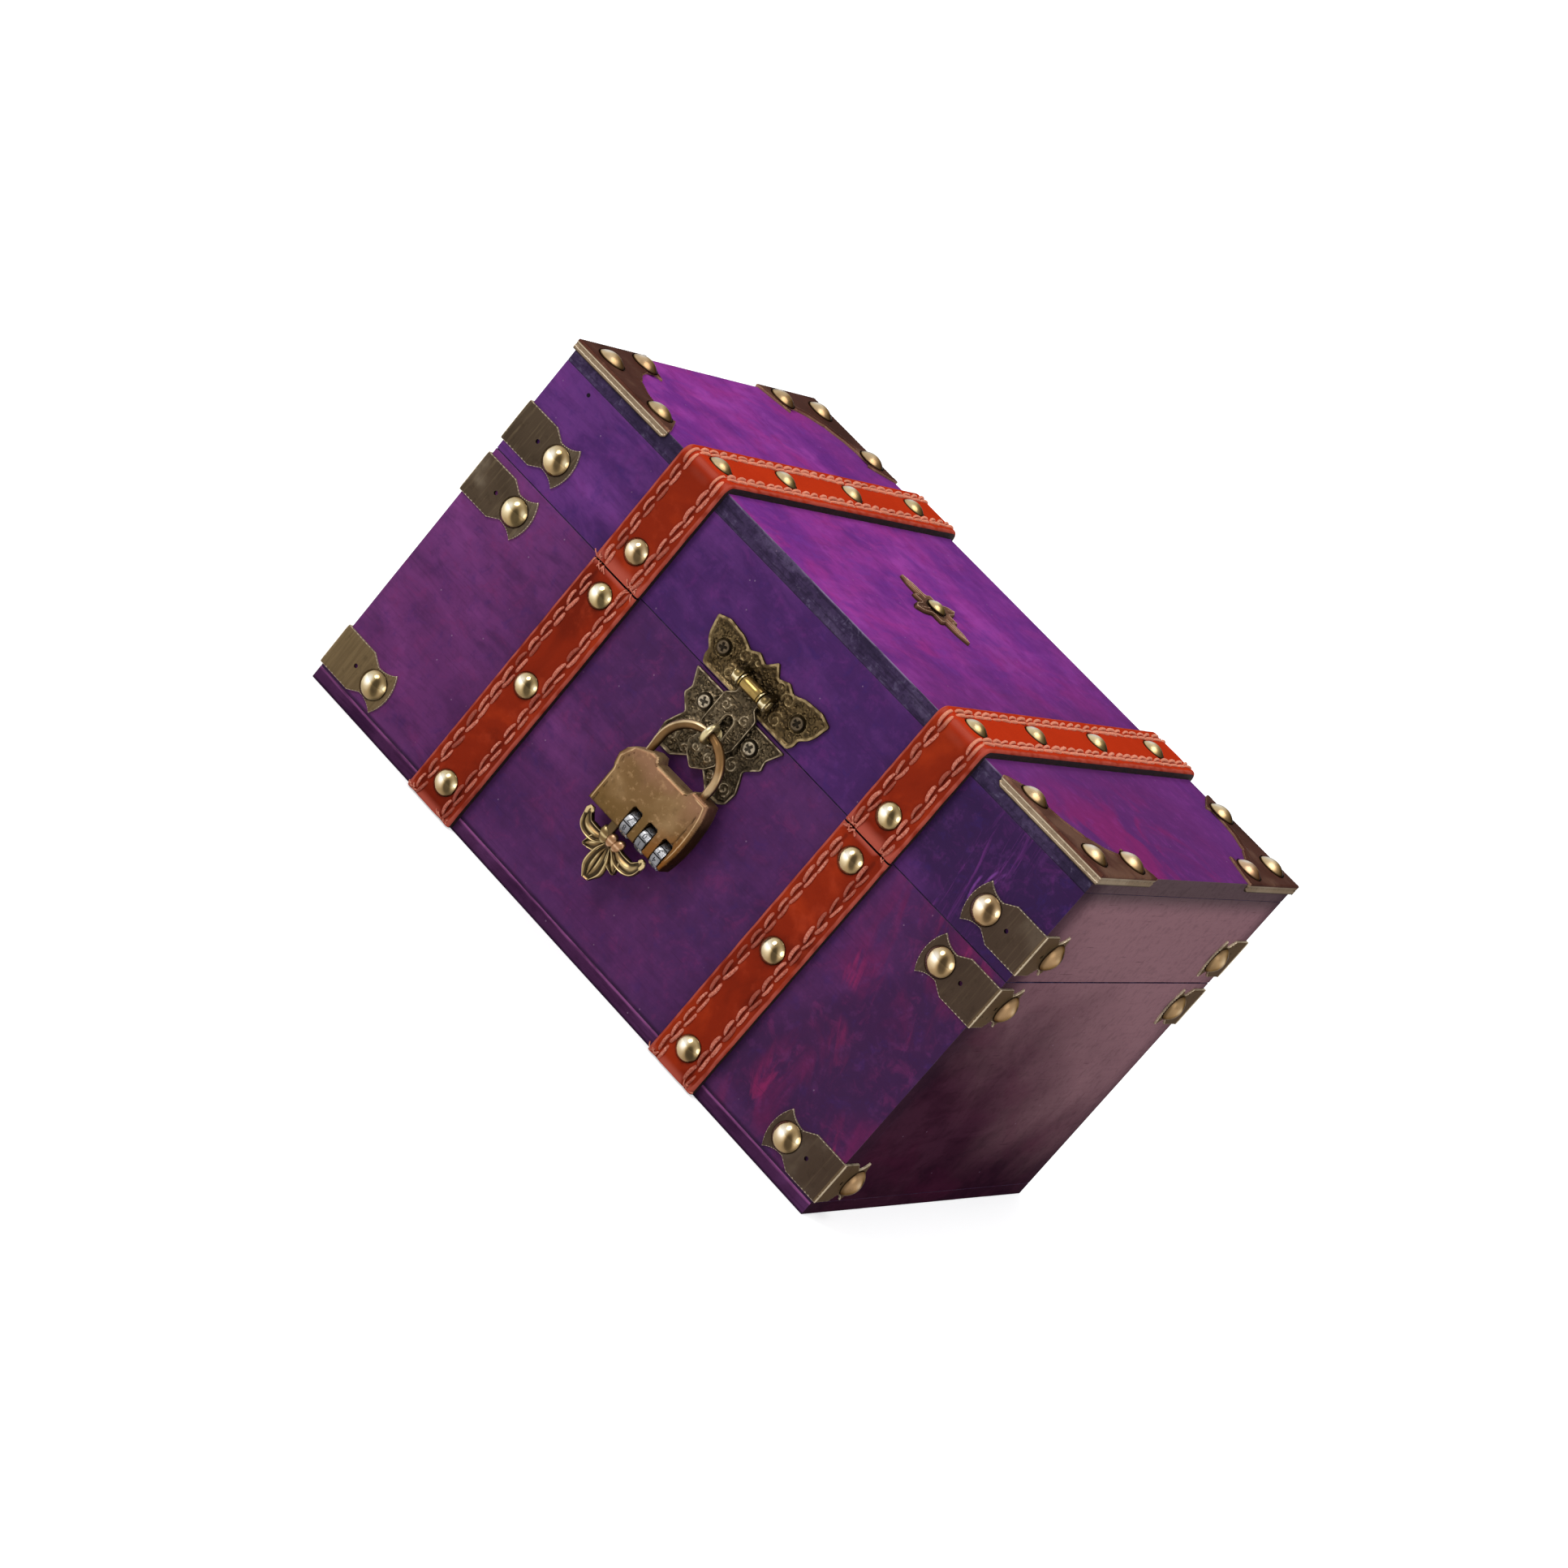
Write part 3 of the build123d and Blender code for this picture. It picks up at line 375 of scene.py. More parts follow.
class Paint:
    """A node material under construction."""

    def __init__(self, name):
        self.mat = bpy.data.materials.new(name)
        self.mat.use_nodes = True
        self.tree = self.mat.node_tree
        self.bsdf = self.tree.nodes["Principled BSDF"]
        self.coords = self.node("ShaderNodeTexCoord", {}, "Object")
        split = [self.node("ShaderNodeSeparateXYZ", {0: self.coords}, axis) for axis in range(3)]
        self.x, self.y, self.z = split
        self.relief, self.tint = (self.node("ShaderNodeAttribute", {}, "Fac", attribute_name=word)
                                  for word in ("relief", "tint"))

    def node(self, kind, inputs, output=0, **settings):
        """A new node's output. settings come before inputs, because some of them change its sockets."""
        made = self.tree.nodes.new(kind)
        for key, value in settings.items():
            setattr(made, key, value)
        for key, value in inputs.items():
            self.put(made.inputs[key], value)
        return Field(self, made.outputs[output])

    def put(self, socket, value):
        if isinstance(value, Field):
            self.tree.links.new(value.socket, socket)
        elif socket.type == "RGBA" and len(value) == 3:
            socket.default_value = colour(*value)
        else:
            socket.default_value = value

    def math(self, kind, a, b):
        return self.node("ShaderNodeMath", {0: a, 1: b}, operation=kind)

    def place(self, scale, shift=(0, 0, 0), lean=None):
        """Coordinates at a scale, one number or one for each axis, after a turn by lean in degrees."""
        where = self.coords
        if lean:
            turn = {"Vector": where, "Rotation": [math.radians(a) for a in lean]}
            where = self.node("ShaderNodeVectorRotate", turn, rotation_type="EULER_XYZ")
        scale = scale if isinstance(scale, tuple) else (scale,) * 3
        return self.node("ShaderNodeMapping", {"Vector": where, "Scale": scale, "Location": shift})

    def clouds(self, scale, detail=4, rough=0.55, bend=0.0, shift=(0, 0, 0), lean=None):
        inputs = {"Vector": self.place(scale, shift, lean), "Scale": 1.0}
        inputs.update({"Detail": detail, "Roughness": rough})
        return self.node("ShaderNodeTexNoise", inputs | {"Distortion": bend}, "Fac")

    def cells(self, scale, shift=(0, 0, 0)):
        inputs = {"Vector": self.place(scale, shift), "Scale": 1.0}
        return self.node("ShaderNodeTexVoronoi", inputs, "Distance")

    def finish(self, base, rough, metal=0.0, normal=None, **more):
        inputs = {"Base Color": base, "Roughness": rough, "Metallic": metal, **more}
        for key, value in (inputs | ({"Normal": normal} if normal else {})).items():
            self.put(self.bsdf.inputs[key.replace("_", " ")], value)
        return self.mat


def stained_wood(name, grain, deep, middle, bright, seed, special=None, rough=(0.42, 0.60), fibres=0.16,
                 gloss_level=0.08, wear_and_painted_light=0.6, blots=(45, 120), uneven=0.3):
    """Stained wood, whose fibres follow the axis grain, in three tones from deep to bright."""
    p = Paint(name)
    shift = (seed * 0.37, seed * 0.21, seed * 0.13)

    def clouds(along, across, detail=4, rough=0.55, bend=0.0):
        return p.clouds(tuple(along if i == grain else across for i in range(3)), detail, rough, bend, shift)

    mottle = clouds(260, 260, 5, 0.65)
    fibre = clouds(70, 1000, 4, 0.65)
    tone = clouds(16, 30, 3, 0.5, 0.8) * 0.55 + clouds(*blots, 4, 0.6, 0.6) * 0.45
    base = tone.ramp([(0.40, deep), (0.50, middle), (0.60, bright)], True)
    if special:
        base = special(p, base)
    dark = tuple(v * 0.45 for v in colour(*deep)[:3]) + (1,)
    pale = tuple(0.45 * v + 0.18 for v in colour(*bright)[:3]) + (1,)
    base = base.mix(mottle.span(0.50, 0.36, 0.16), dark)
    base = base.mix(mottle.span(0.52, 0.68, 0.16), bright)
    base = base.mix(fibre.span(0.50, 0.34, fibres), dark)
    base = base.mix(clouds(60, 1500, 3, 0.6).span(0.34, 0.26, 0.4), dark)
    base = base.mix(p.cells(150, shift).span(0.05, 0.02, 0.35), (170, 140, 170))
    base = base.mix(p.relief.span(0.25, 0.8) * clouds(130, 130, 4, 0.65).span(0.42, 0.58, wear_and_painted_light), pale)
    gloss = clouds(20, 60).span(0.35, 0.7, rough[1], rough[0])
    relief = (fibre + mottle * 0.6).bump(uneven, 0.0001)
    return p.finish(base, gloss, 0.0, relief, Specular_IOR_Level=gloss_level)


def old_metal(name, dark, middle, bright, seed, smooth, rough, scale, dirt, grain, edge, metal, glance,
              spread, special=None):
    """Antiqued metal: dark in its hollows, brighter where it is raised or rubbed, and following the painted
    light and shade that some pieces carry in their relief.
    """
    p = Paint(name)
    shift = (seed, seed * 0.6, seed * 0.3)
    cloud = p.clouds(55, 4, 0.5, 0.2, shift)
    fine = p.clouds(scale, 4, 0.65, 0.0, shift)
    lows, mids, highs = (np.array(colour(*tone)) for tone in (dark, middle, bright))
    low_stop = (0.5 - spread, tuple((lows + mids) / 2))
    stops = [low_stop, (0.5, middle), (0.5 + spread, tuple((2 * mids + highs) / 3))]
    base = cloud.ramp(stops, True)
    if special:
        base = special(p, base)
    base = base.mix(fine.span(0.46, 0.30, dirt), dark)
    base = base.mix(p.relief.span(0.55, 0.05, 0.9), dark)
    base = base.mix(p.relief.span(0.80, 1.0) * fine.span(0.3, 0.5, edge, 0.45), bright)
    return p.finish(base, cloud.span(0.3, 0.7, smooth, rough), metal, fine.bump(grain, 0.00006),
                    Specular_Tint=(glance, glance, glance, 1), Specular_IOR_Level=0.5 * glance)


def along_x(p, base, low, high, share, tone):
    """The stain runs into another tone along the chest's width."""
    place = p.x + (p.clouds((14, 14, 22), 3, 0.5, 0.6) - 0.5) * 0.16
    return base.mix(place.span(low, high, share), tone)


def mottled(p, base, warm, cool, size=150):
    """Small blots of a warmer and a cooler stain."""
    blots = p.clouds(size, 4, 0.7, 0.5, (0.1, 0.5, 0.9))
    return base.mix(blots.span(0.52, 0.70, 0.32), warm).mix(blots.span(0.46, 0.32, 0.32), cool)


def front_stain(p, base):
    """Violet at the left, bluer in the middle, and magenta brush marks towards the right end."""
    base = along_x(p, base, -0.085, -0.01, 0.75, (66, 34, 80))
    soft = p.clouds((20, 20, 26), 3, 0.5, 0.7, (0.2, 0, 0.7))
    base = base.mix(soft.span(0.45, 0.62) * 0.3, (96, 42, 92))
    base = along_x(p, base, 0.055, 0.08, 0.85, (56, 28, 66))
    base = mottled(p, base, (122, 44, 98), (60, 36, 96))
    right = p.x.span(0.064, 0.078) * p.clouds((34, 34, 26), 3, 0.5, 0.6, (0.6, 0, 0.2)).span(0.40, 0.60)
    for tone, scale, shift, low, high, share in (
            ((104, 32, 80), (95, 95, 34), (0.3, 0, 0.1), 0.42, 0.64, 0.8),
            ((144, 40, 92), (120, 120, 32), (0.1, 0, 0.6), 0.53, 0.68, 0.75)):
        marks = p.clouds(scale, 5, 0.62, 0.8, shift, (0, 20, 0)).span(low, high)
        base = base.mix(marks * right * share, tone)
    base = base.mix(p.z.span(0.012, 0.004, 0.35), (98, 56, 108))
    return base.mix(p.z.span(0.0060, 0.0048, 0.8), (36, 16, 44))


def lid_stain(p, base):
    """The lid's front darkens towards indigo at its right end, where it has a few curved brush strokes."""
    base = along_x(p, base, -0.085, -0.035, 0.5, (58, 30, 78))
    base = along_x(p, base, 0.045, 0.075, 0.9, (46, 24, 64))
    base = mottled(p, base, (110, 44, 116), (54, 34, 100))
    right = p.x.span(0.076, 0.084) * p.x.span(0.100, 0.090)
    marks = p.clouds((360, 360, 40), 5, 0.62, 1.6, (0.5, 0, 0.9), (0, 12, 0)).span(0.52, 0.66)
    base = base.mix(marks * right * 0.6, (112, 50, 124))
    rise = p.z - 0.106
    curve = p.x + rise * rise * -28.0
    broken = p.clouds((700, 700, 260), 3, 0.6).span(0.36, 0.58, 0.75, 0.1)
    for x, low, high in ((0.0868, 0.098, 0.108), (0.0890, 0.101, 0.112), (0.0908, 0.104, 0.113)):
        mark = abs(curve - x).span(0.0006, 0.0001) * broken
        mark = mark * (p.z.span(low, low + 0.002) * p.z.span(high, high - 0.003))
        base = base.mix(mark, (132, 70, 156))
    place = {0: p.coords, 1: (-0.1, -0.077, 0.1215)}
    hole = p.node("ShaderNodeVectorMath", place, "Value", operation="DISTANCE")
    return base.mix(hole.span(0.0008, 0.0005), (14, 8, 18))


def top_stain(p, base):
    """The lid's top: soft patches of violet and magenta, darker towards the right end."""
    patch = p.clouds((20, 20, 30), 4, 0.55, 1.2, (0.45, 0.1, 0), (0, 0, -25))
    base = base.mix(patch.span(0.42, 0.64, 0.65), (94, 44, 124))
    warm = p.clouds((40, 28, 50), 5, 0.6, 1.0, (0.9, 0.4, 0), (0, 0, 20))
    base = base.mix(warm.span(0.52, 0.68, 0.6), (150, 50, 128))
    light = p.clouds((60, 60, 80), 5, 0.65, 1.2, (0.2, 0.7, 0), (0, 0, -8))
    base = base.mix(light.span(0.50, 0.72, 0.3), (160, 76, 164))
    base = mottled(p, base, (158, 58, 136), (104, 56, 142), (170, 60, 150))
    base = along_x(p, base, -0.01, 0.08, 0.8, (86, 44, 96))
    right = p.x.span(0.062, 0.092) * p.y.span(0.05, -0.01)
    red = p.clouds((34, 40, 60), 4, 0.6, 0.8, (0.2, 0.9, 0), (0, 0, -15))
    base = base.mix(red.span(0.44, 0.62, 0.7) * right, (132, 40, 98))
    return base.mix(p.y.span(0.02, 0.077, 0.35), (96, 48, 116))


def band_stain(p, base):
    """The lid's edge band: flecked grey, and rubbed pale along its upper edge."""
    flecks = p.clouds(420, 4, 0.7, 0.4)
    base = base.mix(flecks.span(0.50, 0.36, 0.6), (40, 32, 52))
    base = base.mix(flecks.span(0.54, 0.68, 0.5), (104, 94, 122))
    broken = p.clouds((90, 90, 700), 4, 0.6)
    line = p.z.span(TOP / 1000 - 0.0007, TOP / 1000 - 0.0001) * broken.span(0.38, 0.56, 0.8, 0.1)
    return base.mix(line, (150, 130, 164))


def foot_stain_and_highlight(p, base):
    """The bottom board's edge: a painted highlight along its rounded top edge and a dark line along its foot.
    """
    # Painted highlight along the board's top edge, broken in places
    line = p.z.span(0.0034, 0.0041) * p.clouds((70, 70, 700), 4, 0.6).span(0.36, 0.55, 0.9, 0.25)
    return base.mix(line, (150, 84, 140)).mix(p.z.span(0.0011, 0.0003, 0.8), (34, 18, 38))


def end_stain_and_painted_light(p, base):
    """The right end: a dark wine stain, with blotches low down, under a painted mauve sheen that grows
    towards its top and back, so that it stays dark wine towards its lower front corner; a painted shadow
    under the lid's top edge and painted shade along its front and back edges.
    """
    cloud = p.clouds((16, 16, 22), 4, 0.55, 0.6)
    # Painted sheen: mauve rising towards the top and back
    height = p.z + p.y * 0.45 + (cloud - 0.5) * 0.06
    up = height.span(0.022, 0.100)
    base = base.mix(up, (146, 108, 115))
    wine = p.clouds((20, 20, 60), 4, 0.55, 0.5, (0, 0.3, 0.2), (20, 0, 0))
    base = base.mix(wine.span(0.45, 0.70) * (1.0 - up) * 0.3, (82, 26, 54))
    # Painted shadow under the lid's top edge
    base = base.mix(p.z.span(0.117, 0.1255, 0.8), (76, 66, 68))
    # Painted shade along the front and back edges
    edges = p.math("MAXIMUM", p.y.span(-0.060, -0.077), p.y.span(0.066, 0.077, 0.6))
    return base.mix(edges * 0.75, (50, 32, 44))


WOODS = {
    "f": stained_wood("stained_front", 0, (82, 40, 90), (104, 50, 107), (120, 58, 120), 1.0, front_stain),
    "l": stained_wood("stained_lid_front", 0, (78, 38, 102), (99, 50, 120), (118, 60, 136), 2.3, lid_stain),
    "t": stained_wood("stained_top", 0, (122, 50, 128), (136, 54, 138), (150, 64, 152), 3.1, top_stain,
                      fibres=0.08, gloss_level=0.0, blots=(110, 45)),
    "e": stained_wood("stained_end_with_painted_sheen", 1, (46, 22, 36), (56, 27, 42), (66, 34, 50), 4.7, end_stain_and_painted_light,
                      (0.34, 0.44), 0.06, 0.0, uneven=0.05),
    "d": stained_wood("stained_edge", 0, (50, 40, 64), (64, 50, 80), (84, 70, 100), 5.9, band_stain,
                      (0.5, 0.7), 0.5, 0.02, 0.9),
    "w": stained_wood("stained_foot_with_painted_highlight", 0, (60, 30, 62), (76, 40, 76), (90, 50, 92), 6.4, foot_stain_and_highlight,
                      (0.5, 0.7), 0.3, 0.02, 0.9),
    "i": stained_wood("stained_inside", 0, (60, 33, 66), (70, 39, 75), (82, 47, 84), 7.7, None,
                      (0.55, 0.75), 0.6, 0.04),
}


def cast_tones(p, base):
    """The case is pinker at its top, olive lower down and orange-brown in its lower right corner."""
    drift = (p.clouds(90, 3, 0.5) - 0.5) * 0.02
    height = p.z + drift
    base = base.mix(height.span(0.054, 0.064, 0.7), (134, 98, 76))
    base = base.mix(height.span(0.055, 0.043, 0.6), (90, 68, 34))
    corner = p.x + drift - p.z * 0.8
    base = base.mix(corner.span(-0.032, -0.019, 0.9), (108, 62, 18))
    return base.mix(p.clouds(620, 3, 0.6).span(0.54, 0.72, 0.34), (172, 138, 100))


def screw_tones(p, base):
    """The upper screws are duller than the lower ones."""
    return base.mix(p.z.span(0.092, 0.094, 0.8), (78, 64, 46))


def clip_tones(p, base):
    """The right corner's clips are redder, the lowest left one is rubbed pale, short flaps are lighter."""
    streak = p.clouds((900, 900, 60), 3, 0.6)
    base = base.mix(streak.span(0.5, 0.75, 0.35), (120, 104, 80))
    base = base.mix(p.x.span(0.08, 0.09, 0.5), (58, 44, 38)).mix(p.x.span(0.1123, 0.1127, 0.6), (104, 86, 62))
    low = p.x.span(-0.085, -0.088) * p.z.span(0.03, 0.026, 0.75)
    return base.mix(low, (112, 94, 66)).mix(streak.span(0.58, 0.40, 0.45) * low, (74, 60, 42))


# Name, tones of hollows, surface and rubbed edges, seed, least and most roughness, grains in a metre, then
# the shares of dirt, grain, rubbed edge, metal and gloss, and the spread between tones
METALS = (
    ("bronze_sheet", (40, 32, 24), (70, 58, 46), (200, 184, 158),
     0.2, 0.4, 0.55, 420, 0.25, 0.1, 0.9, 0.85, 0.25, 0.35, clip_tones),
    ("bronze_plate", (46, 26, 20), (86, 52, 42), (160, 124, 100),
     0.5, 0.5, 0.6, 420, 0.25, 0.1, 0.8, 0.6, 0.05, 0.15),
    ("bronze_emblem", (52, 32, 24), (112, 80, 62), (196, 164, 140),
     0.6, 0.5, 0.6, 420, 0.15, 0.1, 0.9, 0.6, 0.1, 0.15),
    ("bronze_plate_rim", (46, 36, 28), (122, 104, 84), (220, 204, 178),
     0.7, 0.4, 0.5, 420, 0.25, 0.1, 0.9, 0.9, 0.4, 0.35),
    ("bronze_stamped", (26, 19, 12), (78, 63, 40), (148, 128, 92),
     0.9, 0.35, 0.5, 420, 0.35, 0.3, 0.9, 0.85, 0.5, 0.25),
    ("bronze_grey", (28, 23, 17), (82, 70, 52), (164, 148, 122),
     1.2, 0.35, 0.5, 420, 0.35, 0.3, 0.9, 0.85, 0.5, 0.25),
    ("bronze_cast", (48, 33, 18), (106, 80, 50), (200, 168, 126),
     1.7, 0.38, 0.5, 300, 0.2, 0.12, 0.9, 0.9, 0.6, 0.35, cast_tones),
    ("bronze_shackle", (44, 31, 17), (118, 87, 52), (216, 192, 152),
     2.2, 0.28, 0.4, 300, 0.1, 0.08, 0.8, 0.9, 1.0, 0.15),
    ("bronze_fleur", (32, 23, 13), (106, 84, 52), (200, 178, 130),
     2.9, 0.28, 0.4, 420, 0.25, 0.15, 0.8, 0.9, 1.0, 0.3),
    ("bronze_copper", (60, 38, 24), (142, 104, 72), (204, 168, 134),
     3.0, 0.28, 0.4, 420, 0.3, 0.15, 0.8, 0.9, 1.0, 0.15),
    ("brass_turned", (44, 34, 18), (150, 124, 68), (232, 220, 178),
     3.3, 0.16, 0.24, 500, 0.25, 0.08, 0.8, 0.9, 1.0, 0.15),
    ("brass_knob", (44, 34, 18), (128, 108, 66), (236, 224, 186),
     3.4, 0.2, 0.3, 500, 0.25, 0.1, 0.8, 0.9, 1.0, 0.15),
    ("brass_pale", (96, 80, 50), (176, 158, 112), (240, 230, 200),
     3.6, 0.34, 0.4, 500, 0.0, 0.0, 0.45, 0.9, 1.0, 0.4),
    ("brass_hinge", (60, 48, 30), (132, 110, 72), (196, 172, 124),
     4.1, 0.32, 0.46, 420, 0.35, 0.2, 0.8, 0.9, 1.0, 0.15),
    ("steel_screw", (18, 14, 10), (150, 138, 118), (190, 176, 152),
     5.2, 0.35, 0.5, 420, 0.35, 0.2, 0.9, 0.85, 0.6, 0.15, screw_tones),
    ("nickel_dial", (26, 26, 28), (112, 112, 114), (204, 204, 207),
     6.1, 0.2, 0.34, 600, 0.35, 0.1, 0.8, 0.9, 1.0, 0.15),
)
METAL = {row[0]: old_metal(*row) for row in METALS}
# Nail tones by relief: the dark stops give painted shade and the palest ones a painted highlight
NAIL_STOPS = (0.0, 0.3, 0.55, 0.78, 1.0)
GOLD = ((46, 38, 22), (92, 78, 50), (156, 134, 92), (206, 190, 150), (250, 245, 232))
COPPER = ((50, 30, 22), (96, 64, 48), (150, 108, 84), (198, 160, 134), (244, 228, 214))


def nail_brass(name, rough, glance):
    """Polished brass: each nail has its own tint from pale gold to copper, a darker foot, and the painted
    highlight and shade that its relief carries.
    """
    p = Paint(name)
    cloud = p.clouds(200, 2, 0.5)
    level = p.relief + (cloud - 0.5) * 0.3
    gold, copper = (level.ramp(list(zip(NAIL_STOPS, tones))) for tones in (GOLD, COPPER))
    base = gold.mix(p.tint, copper).mix(p.relief.span(0.12, 0.02), (58, 42, 26))
    return p.finish(base, cloud.span(0.3, 0.7, rough + 0.1, rough), 0.95, cloud.bump(0.12, 0.0003),
                    Specular_Tint=(glance, glance, glance, 1))


def leather(name, gloss_level):
    """Waxed red-brown leather with fine pores and pull-up lights, rubbed edges, a painted highlight over its
    bend, painted shade in its stitch grooves and round its nails, and painted brighter on the lid's top, as
    lit from above.
    """
    p = Paint(name)
    patch = p.clouds(110, 4, 0.6, 0.0, (0.3, 0.2, 0.5))
    stops = [(0.36, (112, 30, 13)), (0.5, (136, 38, 16)), (0.64, (162, 50, 20))]
    base = p.clouds(30, 4, 0.55, 0.5).ramp(stops, True)
    base = base.mix(patch.span(0.52, 0.72, 0.35), (184, 66, 38))
    # Pale where the relief is high: rubbed edges and frayed ends, and the painted highlight over the bend
    base = base.mix(p.relief.span(0.66, 1.0, 0.85), (184, 88, 72))
    # Dark where the relief is low: painted shade in the stitch grooves and round the nails
    base = base.mix(p.relief.span(0.42, 0.0, 0.85), (62, 14, 10))
    # Painted light: the strap's top face is brighter and more orange, as lit from above
    base = base.mix(p.z.span(0.129, 0.1325, 0.8) * p.relief.span(0.9, 0.6, 1.0, 0.25), (190, 52, 22))
    pores = p.cells(1500).bump(0.2, 0.00008)
    wrinkles = p.clouds(420, 4, 0.65, 0.6).bump(0.2, 0.00022, pores)
    return p.finish(base, patch.span(0.3, 0.7, 0.48, 0.34), 0.0, wrinkles, Specular_IOR_Level=gloss_level)


def leather_edge():
    p = Paint("strap_cut_edge")
    fibres = p.clouds((300, 300, 900), 5, 0.7)
    base = fibres.ramp([(0.35, (14, 9, 12)), (0.7, (44, 22, 22))])
    return p.finish(base, 0.8, 0.0, fibres.bump(0.5, 0.0002), Specular_IOR_Level=0.15)


def thread():
    """Waxed thread, paler and pinker than the leather, with some stitches darkened by wax, and painted paler
    on the lid's top, as lit from above.
    """
    p = Paint("strap_thread")
    twist = p.clouds(2200, 3, 0.6)
    base = twist.ramp([(0.34, (168, 80, 62)), (0.52, (206, 118, 96)), (0.70, (234, 164, 142))])
    base = base.mix(p.tint.span(0.3, 1.0, 0.75), (134, 50, 34))
    # Painted light: stitches on the lid's top are paler, as lit from above
    base = base.mix(p.z.span(0.129, 0.1325, 0.65), (228, 146, 114))
    return p.finish(base, 0.7, 0.0, twist.bump(0.5, 0.0001), Specular_IOR_Level=0.2)


def dial_ink():
    p = Paint("dial_ink")
    return p.finish(p.clouds(900, 3, 0.6).ramp([(0.4, (24, 24, 28)), (0.75, (74, 74, 80))]), 0.6)


NAIL_FINISHES = [nail_brass("nail_brass", 0.10, 1.0), nail_brass("nail_brass_dull", 0.26, 0.3)]
STRAP_FINISHES = [leather("strap_leather", 0.03), leather_edge(), leather("strap_leather_top", 0.0)]
THREAD = thread()
INK = dial_ink()

# Wooden boards
EDGE_R = 0.2
EDGE_WEAR = 0.06
BOARD_STEP = 7.0
NEAR = 0.05
END_GAP = 0.1
# The finish of each board's sides, in the order x-, x+, y-, y+, z-, z+
BOARDS = {
    "base_front_wall": "eefidd", "base_back_wall": "eeifdd",
    "base_left_wall": "eidddd", "base_right_wall": "iedddd",
    "base_bottom_board": "eewwdi", "lid_front_wall": "eelidd",
    "lid_back_wall": "eeildd", "lid_left_wall": "eidddd",
    "lid_right_wall": "iedddd", "lid_top_board": "eeddit",
}


def board(node, woods, seed):
    """A board with worn, slightly uneven edges, which leaves a narrow seam between base and lid."""
    low, high = corners(node)
    gap = END_GAP if "left" in node or "right" in node else 0.0
    if abs(high[2] - SEAM) < 1:
        high[2] = BASE_TOP - gap
    if abs(low[2] - SEAM) < 1:
        low[2] = LID_BOTTOM + gap
    lines = []
    for a, b in zip(low, high):
        inner = np.linspace(a + EDGE_R, b - EDGE_R, max(2, int((b - a) / BOARD_STEP)))
        lines.append(np.r_[a, a + 0.3 * EDGE_R, inner, b - 0.3 * EDGE_R, b])
    letters = sorted(set(woods))
    shape = Shape()
    for axis in range(3):
        u, v = [i for i in range(3) if i != axis]
        for sign, level in ((-1, low[axis]), (1, high[axis])):
            gu, gv = np.meshgrid(lines[u], lines[v], indexing="ij")
            pts = np.full((gu.size, 3), level)
            pts[:, u], pts[:, v] = gu.ravel(), gv.ravel()
            x, y, z = pts.T
            outer = np.sum([np.abs(x) > W - NEAR, np.abs(y) > D - NEAR, z > TOP - NEAR, z < NEAR,
                            np.abs(z - FLOOR_T) < NEAR], axis=0)
            core = np.clip(pts, low + EDGE_R, high - EDGE_R)
            d = pts - core
            d /= np.maximum(np.linalg.norm(d, axis=1, keepdims=True), 1e-9)
            r = np.full(len(pts), EDGE_R)
            for k in np.nonzero((np.abs(d) > 0.08).sum(1) > 1)[0]:
                coarse = noise.noise(Vector(core[k] * 0.11) + Vector((seed, 0, seed)))
                fine = noise.noise(Vector(core[k] * 0.5) + Vector((seed * 2, 0, 1)))
                r[k] -= EDGE_WEAR * max(0.0, 0.35 + coarse + 0.6 * fine)
            finish = letters.index(woods[2 * axis + (sign > 0)])
            shape.add(core + d * r[:, None], skin(*gu.shape, ring=False), (outer > 1) * 1.0, finish,
                      (sign > 0) != (axis == 1))
    shape.make(node + "_board", node, [WOODS[c] for c in letters], 30)


for k, (node, woods) in enumerate(BOARDS.items()):
    board(node, woods, k + 1)

# Leather straps
STRAP_X = 55.5
STRAP_HALF = 9.5
STRAP_T = 2.8
STRAP_R = 0.75
STRAP_FOOT = 0.5
STRAP_STEP = 0.5
BEND = 0.8
BEND_STEPS = 8
BEND_LONG = 1.1 * math.pi
BASE_NAILS = (83.0, 48.0, 9.5)
LID_NAIL = 100.0
TOP_NAILS = (-72.0, -30.0, 15.5, 60.0)
GROOVE = 5.9
ROWS = (6.95, 4.95)
STITCH = 6.0
LOOSE_ENDS = (-8.6, -7.2, -6.3, -5.0, 5.2, 6.4, 7.4, 8.6)


def strap_section():
    """Points across the strap, from one foot over its face to the other."""
    left = [(-STRAP_HALF, 0.0), (-STRAP_HALF, 0.9), (-STRAP_HALF, STRAP_T - STRAP_R)]
    for a in (0.5, 1.0, 1.57):
        left.append((STRAP_R * (1 - math.cos(a)) - STRAP_HALF, STRAP_T - STRAP_R * (1 - math.sin(a))))
    face = [(u, STRAP_T) for u in np.arange(-STRAP_HALF + STRAP_R + 0.45, STRAP_HALF - STRAP_R - 0.2, 0.45)]
    return left + face + [(-u, h) for u, h in reversed(left)]


